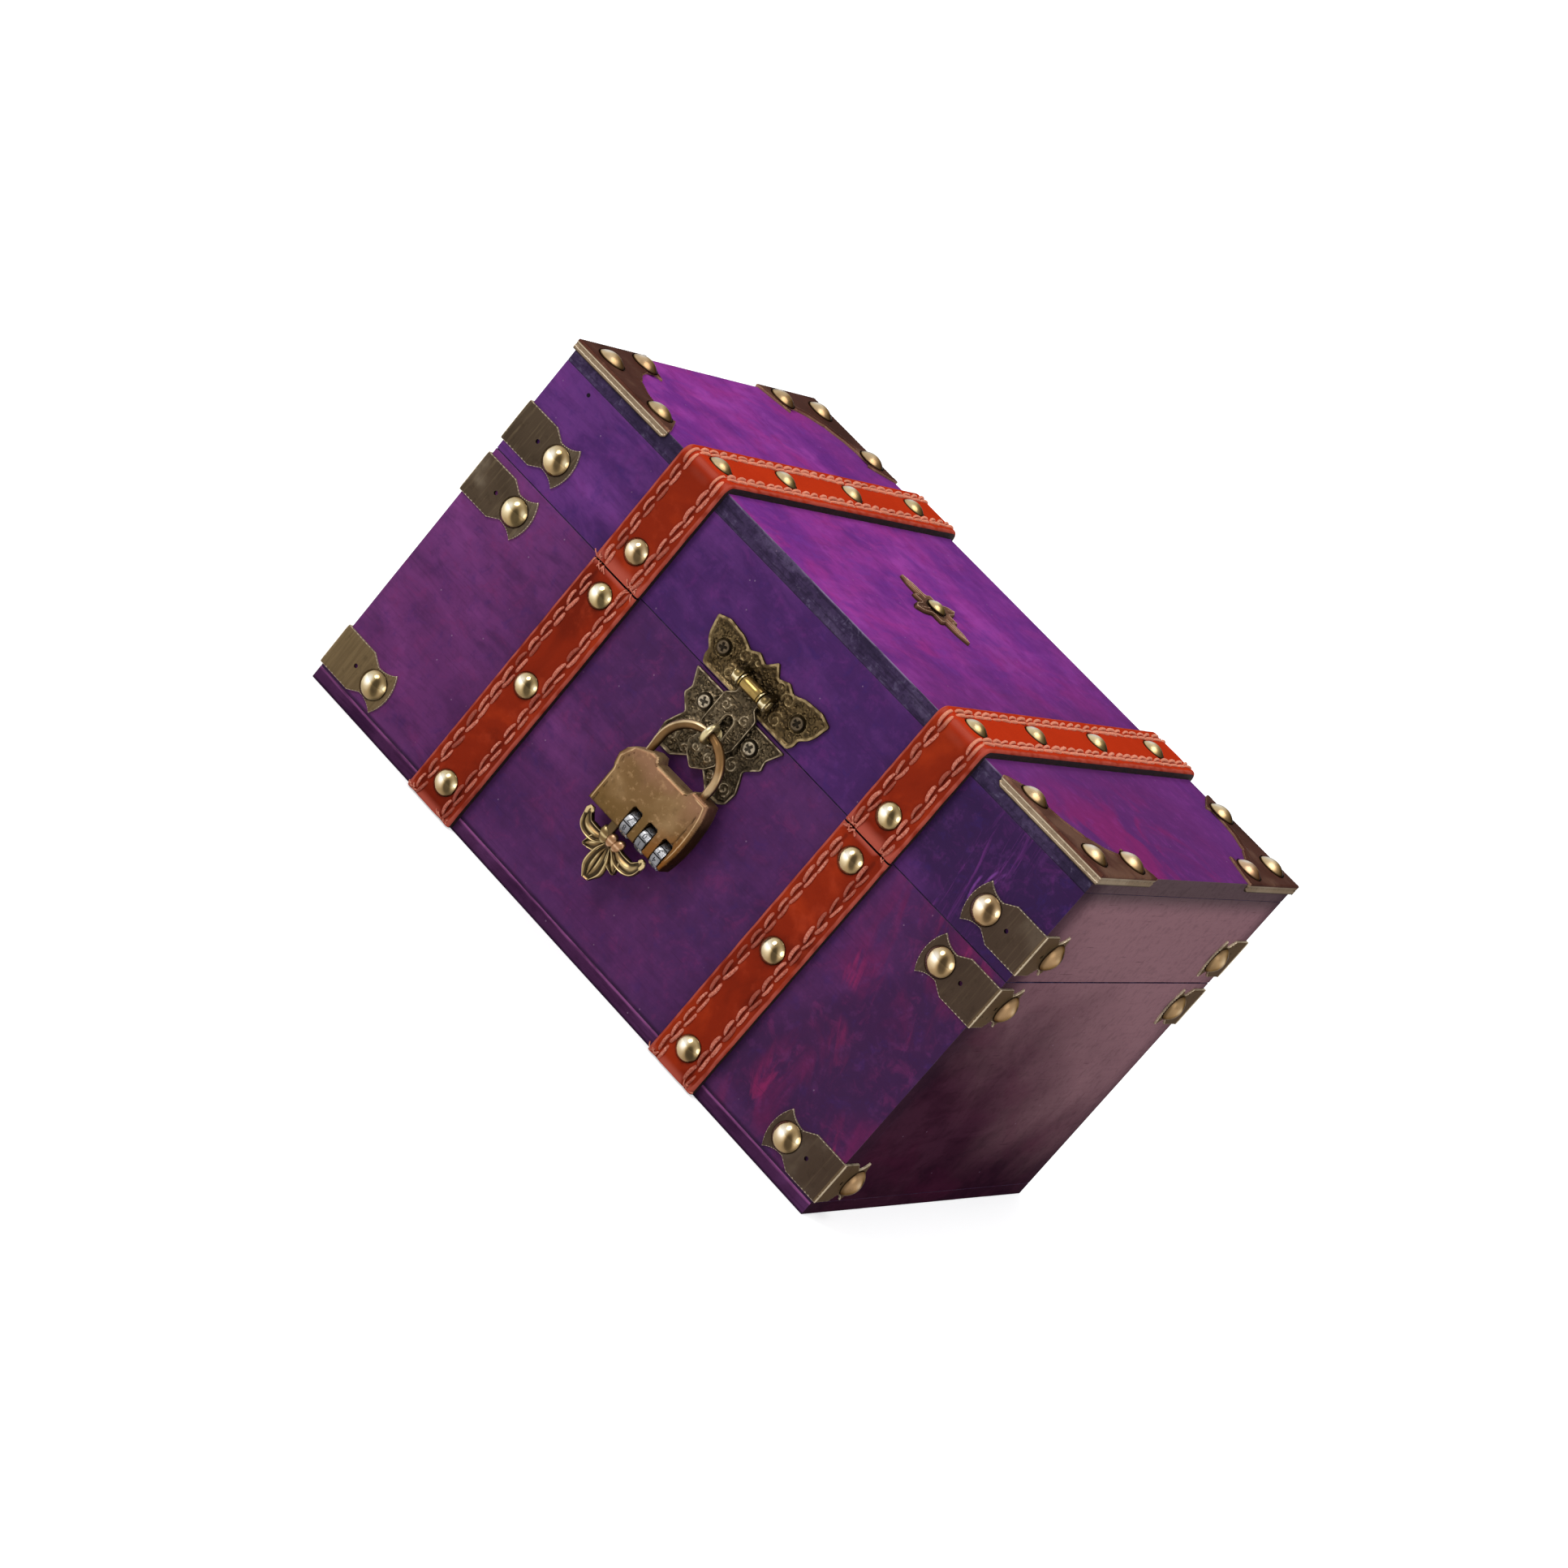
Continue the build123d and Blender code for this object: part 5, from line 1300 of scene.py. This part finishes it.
# The barrel's right half has (radius, distance from its middle, brightness)
BARREL = ((1.0, -4.3, 0.6), (2.0, -4.3, 0.8), (2.25, -4.15, 1.0), (2.3, -3.9, 1.0), (2.25, -3.7, 0.7),
          (1.9, -3.62, 0.05),
          (1.9, -3.42, 0.05), (2.15, -3.34, 0.6), (2.22, -3.2, 0.85), (2.22, -1.5, 0.85))
barrel = BARREL + ((2.22, 0.0, 0.85),) + tuple((r, -x, tone) for r, x, tone in reversed(BARREL))
# Painted light and shade round the barrel: brightest where it faces up and out, darkest on its far side
turn_light = [0.44 + 0.52 * math.cos(a - math.radians(140)) for a in around(40)]
shape = Shape()
plate(shape, front(0, AXIS_Z, 1.55), [tongue_loop, slot_loop], tongue_height, hasp_shade(), HASP_STEP,
      HASP_RINGS)
lathe(shape, (0, -D - AXIS_OUT, AXIS_Z), (1, 0, 0), (0, 1, 0), [(r, x) for r, x, _ in barrel], 40,
      [tone * light for _, _, tone in barrel for light in turn_light], 1)
shape.make("hasp_tongue_relief", "hasp_tongue", [METAL["bronze_grey"], METAL["brass_turned"]], 45)

shape = Shape()
for side in SIDES:
    head = [(0.9, 0.0), (1.5, 0.02), (1.5, 0.25), (1.3, 0.42), (0.8, 0.5)]
    lathe(shape, (side * 7.15, -D - AXIS_OUT, AXIS_Z), (side, 0, 0), (0, 1, 0), head, 24, 0.9)
shape.make("hasp_pin_heads", "hasp_pin", [METAL["brass_turned"]], 45)

# Staple ring
RING_OUT = 6.5
RING_Z = 79.65
RING_R = 2.6
LIT = np.array((-0.62, -0.62, 0.48)) / np.linalg.norm((-0.62, -0.62, 0.48))
COLLAR = [(1.2, -1.25), (1.2, 0.0), (2.1, 0.0), (2.2, 0.15), (2.2, 0.42), (1.9, 0.6), (1.35, 0.75),
          (1.1, 1.2)]


def lit_from_left(dark, light):
    """Painted light and shade: brighter where a round bar faces up and left, darker on its far side, with a
    painted highlight where it faces that way most.
    """
    def shade(directions):
        facing = directions @ LIT
        tone = dark + (light - dark) * (0.5 + 0.5 * facing) ** 1.6
        return np.clip(tone + 0.25 * bell(facing - 0.93, 0.1), 0, 1)
    return shade


shape = Shape()
ring = [(0, -D - RING_OUT - RING_R * math.cos(a), RING_Z + RING_R * math.sin(a)) for a in around(40)]
tube(shape, ring, 1.1, 24, lit_from_left(0.2, 0.9), closed=True)
lathe(shape, (0, -D - 2.75, RING_Z), (0, -1, 0), (1, 0, 0), COLLAR, 28, 0.8)
shape.make("hasp_staple_ring_cast", "hasp_staple_ring", [METAL["brass_pale"]], 45)

# Screws
SCREW_R = 2.1
SCREW_H = 0.8
HINGE_SCREWS_X = (-36, -20, 20, 36)
HINGE_SCREW_UP = 8.4


def screw_height(p):
    """A pan head with a cross recess."""
    h = rounded(np.clip(SCREW_R - np.hypot(p[:, 0], p[:, 1]), 0, None), 0.7, SCREW_H)
    u, v = np.abs(p).T
    cross = np.minimum(np.maximum(u / 0.36, v / 1.35), np.maximum(v / 0.36, u / 1.35))
    return h - 0.5 * np.clip((1.2 - cross) / 0.4, 0, 1)


def screw_shade(p, h):
    r = np.hypot(p[:, 0], p[:, 1])
    slot = np.clip((0.66 - h) / 0.15, 0, 1) * (r < 1.6)
    return np.clip(0.78 - 0.9 * slot - 0.6 * np.clip((r - 1.75) / 0.25, 0, 1), 0, 1)


def screws(node, places):
    shape = Shape()
    for k, place in enumerate(places):
        a = math.radians(25 + 40 * k)
        ex = place.ex * math.cos(a) + place.ey * math.sin(a)
        ey = place.ey * math.cos(a) - place.ex * math.sin(a)
        head = circle_points(0, 0, SCREW_R, around(28))
        plate(shape, Place(place.o, ex, ey), [head], screw_height, screw_shade, 0.22, (0.15, 0.35))
    shape.make(node + "_heads", node, [METAL["steel_screw"]], 50)


screws("hasp_upper_screws", [front(x, UPPER_Z + z, HASP_T) for x, z in both_sides(*UPPER_SCREW)])
screws("hasp_lower_screws", [front(x, LOWER_Z + z, HASP_T) for x, z in both_sides(*LOWER_SCREW)])
for node, sign in (("hinge_lid_screws", 1), ("hinge_base_screws", -1)):
    screws(node, [back(x, SEAM + sign * HINGE_SCREW_UP, HASP_T) for x in HINGE_SCREWS_X])


# Hinges
def softened(node, name, bevel):
    """A piece in the model's own shape, with its edges rounded."""
    mesh = frame["nodes"][node].data.copy()
    bm = bmesh.new()
    bm.from_mesh(mesh)
    bmesh.ops.remove_doubles(bm, verts=bm.verts, dist=1e-6)
    bmesh.ops.dissolve_limit(bm, angle_limit=math.radians(1.0), verts=bm.verts, edges=bm.edges)
    sharp = [x for x in bm.edges if len(x.link_faces) == 2 and x.calc_face_angle(0) > math.radians(35)]
    bmesh.ops.bevel(bm, geom=sharp, offset=bevel / 1000, segments=2, profile=0.5, affect="EDGES",
                    clamp_overlap=True)
    for x in bm.faces:
        x.smooth = True
    bm.to_mesh(mesh)
    bm.free()
    relief = mesh.attributes.new("relief", "FLOAT", "POINT")
    relief.data.foreach_set("value", [0.8] * len(mesh.vertices))
    mesh.materials.clear()
    mesh.materials.append(METAL["brass_hinge"])
    mesh.set_sharp_from_angle(angle=math.radians(40))
    add_piece(name, mesh, node)


for word in ("left", "right"):
    for leaf_name in (f"hinge_base_leaf_{word}", f"hinge_lid_leaf_{word}"):
        softened(leaf_name, leaf_name + "_sheet", 0.18)
softened("hinge_pins", "hinge_pins_turned", 0.15)

# Padlock
(_, case_front, LOCK_BOTTOM), (LOCK_W, case_back, case_top) = corners("lock_case")
LOCK_H = case_top - LOCK_BOTTOM
LOCK_HALF = (case_back - case_front) / 2
LEFT_SHARES = ((-0.864, 0.0), (-0.858, 0.436), (-0.858, 0.485), (-0.898, 0.527), (-0.943, 0.660),
               (-0.885, 0.775),
               (-0.773, 0.863), (-0.466, 0.971), (-0.341, 0.971), (-0.273, 0.900))
RIGHT_SHARES = ((0.432, 0.909), (0.511, 1.0), (0.875, 1.0), (0.943, 0.851))
BELLY_SHARES = ((1.0, 0.436), (0.932, 0.0))
DIALS = (0.0, 6.7, 13.4)
DIAL_Z = 44.8
NOTCH = ((1.95, LOCK_BOTTOM), (1.95, 49.4), (1.4, 50.0), (-1.4, 50.0), (-1.95, 49.4), (-1.95, LOCK_BOTTOM))
shoulder_line = [(LOCK_W * u, LOCK_BOTTOM + LOCK_H * v) for u, v in LEFT_SHARES + RIGHT_SHARES]
belly, foot = ((LOCK_W * u, LOCK_BOTTOM + LOCK_H * v) for u, v in BELLY_SHARES)
outer_line = shoulder_line[:-1] + arc3(shoulder_line[-1], belly, foot, 16) + [foot]
notches = [(x + u, z) for x in reversed(DIALS) for u, z in NOTCH]
outer_edge = pairs(outer_line)
notch_edge = pairs(notches)
BAND = runs([(14.3, 62.4), (14.8, 58.0), (14.6, 51.0), (13.8, 45.0), (13.4, 41.5)])
LEDGES = runs([(-13.2, 42.0), (-13.2, 53.2), (-14.3, 57.2), (-12.4, 61.0)])


def case_height(p):
    """The cast case: a bevel all round, a ledge down its left side and a raised band down its right one."""
    d = distance(p, outer_edge)
    h = np.minimum(rounded(d, 1.3, LOCK_HALF), rounded(distance(p, notch_edge), 0.25, LOCK_HALF))
    h = h - 0.38 * bell(distance(p, LEDGES), 0.34) - 0.42 * bell(distance(p, BAND), 0.3)
    pits = np.clip(wave(p, 0.9, 0, 7.0) - 0.25, 0, 1)
    return h + 0.10 * (wave(p, 0.16, 0, 2.0) - pits) * np.clip(d / 2, 0, 1)


def case_shade(p, h):
    # Painted light and shade: highlights along the bevel, the top edge, the upper left edge and beside the
    # ledge; shade in the band, ledge and notch grooves and along the right edge
    x, z = p.T
    d, ledge = distance(p, outer_edge), distance(p, LEDGES)
    right = np.clip((x - 9) / 3, 0, 1)
    bright = 0.26 * bell(d - 1.15, 0.32) * np.maximum(right, 0.25)
    bright += 0.3 * bell(d, 0.45) * np.clip((z - 58) / 3, 0, 1)
    bright += 0.08 * bell(d - 0.55, 0.28) * (x < 12) * np.clip((z - 52) / 8, 0.2, 1)
    bright += 0.20 * bell(ledge - 0.85, 0.4) * (x < -13.2)
    dark = 0.5 * (bell(distance(p, BAND), 0.3) + bell(ledge, 0.36))
    dark += 0.35 * bell(distance(p, notch_edge), 0.5)
    return np.clip(0.70 + bright - dark - 0.5 * np.clip((0.75 - d) / 0.5, 0, 1) * right, 0, 1)


shape = Shape()
plate(shape, front(0, 0, RING_OUT), [outer_line + notches], case_height, case_shade, 0.8,
      (0.15, 0.4, 0.75, 1.1, 1.5), True)
shape.make("lock_case_cast", "lock_case", [METAL["bronze_cast"]], 40)
axle = frame["nodes"]["lock_dial_axle"].data.materials
axle.clear()
axle.append(METAL["steel_screw"])

BOW_R = 11.1
BOW_Z = 68.55
WIRE_R = 1.2
bow = [(BOW_R, z) for z in np.arange(51.0, 68.5, 0.6)]
bow += circle_points(0, BOW_Z, BOW_R, np.linspace(0, math.pi, 61))
bow += [(-BOW_R, z) for z in np.arange(68.0, 59.9, -0.6)]
# The wire is thicker over its bow than in the case and where the ring holds it
grown = [min(1.0, max(0.0, (z - 64.5) / 3)) * min(1.0, max(0.35, (abs(x) - 2.2) / 2)) for x, z in bow]
shape = Shape()
wire = [WIRE_R + 0.27 * g for g in grown]
tube(shape, [(x, -D - RING_OUT, z) for x, z in bow], wire, 24, lit_from_left(0.05, 0.95))
shape.make("lock_shackle_wire", "lock_shackle", [METAL["bronze_shackle"]], 50)

# Dials
FACETS = 10
DIAL_R = 4.58
DIAL_HALF = 1.65


def facet_shade(p, h):
    """Every other facet painted brighter, as light caught by the flats, with dark grooves between them."""
    a = np.arctan2(p[:, 1], p[:, 0]) / (2 * math.pi) * FACETS
    wear_and_painted_light = np.where(np.floor(a) % 2 == 0, 0.98, 0.78)
    return np.clip(wear_and_painted_light - 0.8 * bell(a - np.round(a), 0.09) - 0.5 * (h < 1.2), 0, 1)


def dial(index, x):
    """A wheel with ten flats, a number on each and a groove between them."""
    node = f"lock_dial_{index}"
    loop = []
    for a in around(FACETS):
        for r, turn in ((DIAL_R, -0.05), (4.3, 0.0), (DIAL_R, 0.05), (4.56, math.pi / FACETS)):
            loop += circle_points(0, 0, r, [a + turn])
    middle = np.array((x, -D - RING_OUT, DIAL_Z))
    shape = Shape()
    plate(shape, Place(middle, (0, 1, 0), (0, 0, 1)), [loop],
          lambda p: rounded(distance(p, pairs(loop)), 0.35, DIAL_HALF), facet_shade, 0.7, (0.12, 0.3), True)
    shape.make(node + "_wheel", node, [METAL["nickel_dial"]], 30)
    digits = Shape()
    for k, a in enumerate(around(FACETS)):
        a += math.pi / FACETS
        curve = bpy.data.curves.new("digit", "FONT")
        curve.body = str((k + 3 * index) % 10)
        curve.size = 2.5
        curve.align_x = curve.align_y = "CENTER"
        curve.extrude = 0.03
        text = bpy.data.objects.new("digit", curve)
        mesh = bpy.data.meshes.new_from_object(text)
        out, up = np.array((0, math.cos(a), math.sin(a))), np.array((0, -math.sin(a), math.cos(a)))
        place = Place(middle + out * 4.6, np.cross(up, out), up, out)
        digits.add(place.world([v.co for v in mesh.vertices]), [tuple(f.vertices) for f in mesh.polygons])
        bpy.data.objects.remove(text)
        bpy.data.meshes.remove(mesh)
        bpy.data.curves.remove(curve)
    digits.make(node + "_digits", node, [INK], 38, False)


for index, x in enumerate(DIALS):
    dial(index + 1, x)

# Fleur under the padlock
FLEUR_Z = 36.2
PETAL_ROWS = 26
LOBE_ROWS = 13
LOBE_TURNS = 20
CURL = ((12.1, 0.9), (12.3, 2.0), (11.9, 2.9), (11.0, 3.0), (10.7, 2.3))
STEM = [(-1.7, -1.2), (1.7, -1.2), (1.35, 1.4), (1.35, 5.4), (-1.35, 5.4), (-1.35, 1.4)]
fleur_place = front(-1.6, FLEUR_Z, RING_OUT)


def spline(points, n):
    """A smooth line through the points."""
    pts = [np.array(p, float) for p in points]
    pts = [2 * pts[0] - pts[1]] + pts + [2 * pts[-1] - pts[-2]]
    out = []
    for t in np.linspace(0, len(pts) - 3, n):
        i = min(int(t), len(pts) - 4)
        t -= i
        a, b, c, d = pts[i:i + 4]
        curve = 2 * a - 5 * b + 4 * c - d
        out.append(0.5 * (2 * b + (c - a) * t + curve * t**2 + (3 * b - a - 3 * c + d) * t**3))
    return out


def leaf(shape, spine, widths, high, apart, lift=0.0):
    """A cast petal: a raised rim, a hollow, and one ridge or two apart that narrow towards its ends."""
    line = spline(spine, PETAL_ROWS)
    wide = [w for w, _ in spline([(w, 0) for w in widths], PETAL_ROWS)]
    across = np.linspace(-1, 1, 25)
    pts, shade = [], []
    for k, t in enumerate(np.linspace(0, 1, PETAL_ROWS)):
        d = line[min(k + 1, PETAL_ROWS - 1)] - line[max(k - 1, 0)]
        normal = np.array((-d[1], d[0])) / np.linalg.norm(d)
        fill = math.sin(math.pi * min(max((t - 0.06) / 0.86, 0), 1)) ** 0.5
        tip = 0.7 * math.exp(-min(t, 1 - t) / 0.04)
        for s, face in [(s, 1) for s in across] + [(s, -1) for s in across[::-1]]:
            a = abs(s)
            ridge = fill * bell(a - apart * fill, 0.16 if apart else 0.34)
            if apart and a < 0.1:
                ridge *= 0.35 + 6.5 * a
            h = 0.34 + 0.66 * max(bell(a - 0.80, 0.17), ridge, tip)
            h *= math.sqrt(max(0.0, 1 - max(0.0, (a - 0.86) / 0.14) ** 2))
            q = line[k] + normal * max(wide[k], 0.05) * s
            pts.append((q[0], q[1], face * h * high + lift))
            shade.append(0.98 * max(0.06, min(1.0, max(0.0, h - 0.30) / 0.66) ** 1.5))
    shape.add(fleur_place.world(pts), skin(PETAL_ROWS, 2 * len(across)), shade, flip=True)


def lobe(shape, x, z, half, tall, deep, lean, mat=0):
    """One swelling of the band that ties the petals."""
    pts, shade = [], []
    for b in np.linspace(-math.pi / 2, math.pi / 2, LOBE_ROWS):
        v, wide, ripple = tall * math.sin(b), max(math.cos(b), 0.02), math.cos(9 * b)
        for a in around(LOBE_TURNS):
            u = half * wide * math.cos(a) * (1 - 0.07 * ripple)
            pts.append((x + u + lean * v, z + v, deep * wide * math.sin(a)))
            shade.append(0.72 + 0.14 * ripple + 0.14 * math.sin(a))
    shape.add(fleur_place.world(pts), skin(LOBE_ROWS, LOBE_TURNS, caps=True), shade, mat, True)


shape = Shape()
leaf(shape, [(0.0, -1.6), (0.1, -5.0), (0.5, -9.6), (0.9, -13.3)], [1.4, 3.3, 3.9, 1.3], 1.15, 0.22)
for side in SIDES:
    wing = [(side * x, z) for x, z in ((1.7, -0.3), (5.6, -2.0), (9.6, -1.5), (11.7, 1.9))]
    small = [(side * x, z) for x, z in ((1.6, -1.4), (4.2, -4.0), (6.8, -6.6))]
    leaf(shape, wing, [1.3, 2.5, 2.4, 1.1], 1.15, 0.0)
    leaf(shape, small, [1.0, 2.8, 0.3], 0.95, 0.0, -0.1)
    tube(shape, fleur_place.world([(side * x, z, 0.5) for x, z in CURL]), 0.72, 10, 0.98)
lobe(shape, -3.2, 0.0, 2.0, 2.8, 1.7, -0.3)
lobe(shape, -0.4, 0.2, 1.9, 2.4, 1.5, 0.0, 1)
lobe(shape, 2.3, 0.3, 1.8, 2.5, 1.5, 0.25, 1)
plate(shape, front(-4.4, FLEUR_Z + 1.0, RING_OUT), [STEM],
      lambda p: rounded(distance(p, pairs(STEM)), 0.6, 1.1),
      lambda p, h: np.full(len(p), 0.3), 0.5, (0.15, 0.35, 0.6), True)
shape.make("lock_fleur_cast", "lock_fleur", [METAL["bronze_fleur"], METAL["bronze_copper"]], 50)

# Camera, at the photograph's viewing angle and roll
CAMERA_PLACE = (0.4937526, -1.2868799, 0.4565044)
CAMERA_TURN = (69.3169, -38.53826, 34.43748)
camera_data = bpy.data.cameras.new("camera")
camera_data.lens = 109.71
camera_data.sensor_width = 36.0
camera = bpy.data.objects.new("camera", camera_data)
bpy.context.scene.collection.objects.link(camera)
camera.location = CAMERA_PLACE
camera.rotation_euler = [math.radians(a) for a in CAMERA_TURN]
bpy.context.scene.camera = camera


# Background and floor
def seen_ray(tree):
    """1 for a ray from the camera, in a reflection or through glass."""
    path = tree.nodes.new("ShaderNodeLightPath")
    ray = path.outputs["Is Camera Ray"]
    for word in ("Is Glossy Ray", "Is Transmission Ray"):
        most = tree.nodes.new("ShaderNodeMath")
        most.operation = "MAXIMUM"
        tree.links.new(ray, most.inputs[0])
        tree.links.new(path.outputs[word], most.inputs[1])
        ray = most.outputs[0]
    return ray


world = bpy.data.worlds.new("world")
bpy.context.scene.world = world
world.use_nodes = True
nodes, links = world.node_tree.nodes, world.node_tree.links
lit, white, choice = nodes["Background"], nodes.new("ShaderNodeBackground"), nodes.new("ShaderNodeMixShader")
lit.inputs[0].default_value = (0.82, 0.84, 0.88, 1)
lit.inputs[1].default_value = 0.35
white.inputs[0].default_value = (1, 1, 1, 1)
links.new(seen_ray(world.node_tree), choice.inputs[0])
links.new(lit.outputs[0], choice.inputs[1])
links.new(white.outputs[0], choice.inputs[2])
links.new(choice.outputs[0], nodes["World Output"].inputs[0])

FLOOR_HALF = 30
floor_mesh = bpy.data.meshes.new("floor")
floor_corners = [(x * FLOOR_HALF, y * FLOOR_HALF, 0) for x, y in ((-1, -1), (1, -1), (1, 1), (-1, 1))]
floor_mesh.from_pydata(floor_corners, [], [(0, 1, 2, 3)])
floor = bpy.data.objects.new("floor", floor_mesh)
bpy.context.scene.collection.objects.link(floor)
p = Paint("floor")
p.finish(p.clouds(3, 3, 0.5).ramp([(0.3, (0.86, 0.86, 0.86, 1)), (0.7, (0.88, 0.88, 0.88, 1))]), 0.9)
far = p.node("ShaderNodeVectorMath", {0: p.coords}, "Value", operation="LENGTH")
glow = p.node("ShaderNodeEmission", {"Color": (1, 1, 1, 1),
                                     "Strength": Field(p, seen_ray(p.tree)) * far.span(0.25, 1.6, 1.0, 0.55)})
both = p.node("ShaderNodeAddShader", {0: Field(p, p.bsdf.outputs[0]), 1: glow})
p.put(p.tree.nodes["Material Output"].inputs[0], both)
floor_mesh.materials.append(p.mat)


# Lamps
def lamp(name, place, aim, size, watts, tone=(1, 1, 1)):
    data = bpy.data.lights.new(name, "AREA")
    data.shape = "DISK"
    data.size = size
    data.energy = watts
    data.color = tone
    item = bpy.data.objects.new(name, data)
    bpy.context.scene.collection.objects.link(item)
    item.location = place
    item.rotation_euler = (Vector(aim) - Vector(place)).to_track_quat("-Z", "Y").to_euler()


lamp("key", (-0.75, -1.15, 1.15), (0, 0, 0.06), 0.7, 13.0, (1.0, 0.98, 0.95))
lamp("sky", (0.1, 0.2, 1.5), (0, 0, 0.08), 0.9, 9.0)
lamp("fill", (1.3, -0.5, 0.55), (0, 0, 0.06), 0.9, 4.5, (0.96, 0.98, 1.0))

bpy.context.scene.view_settings.view_transform = "Standard"
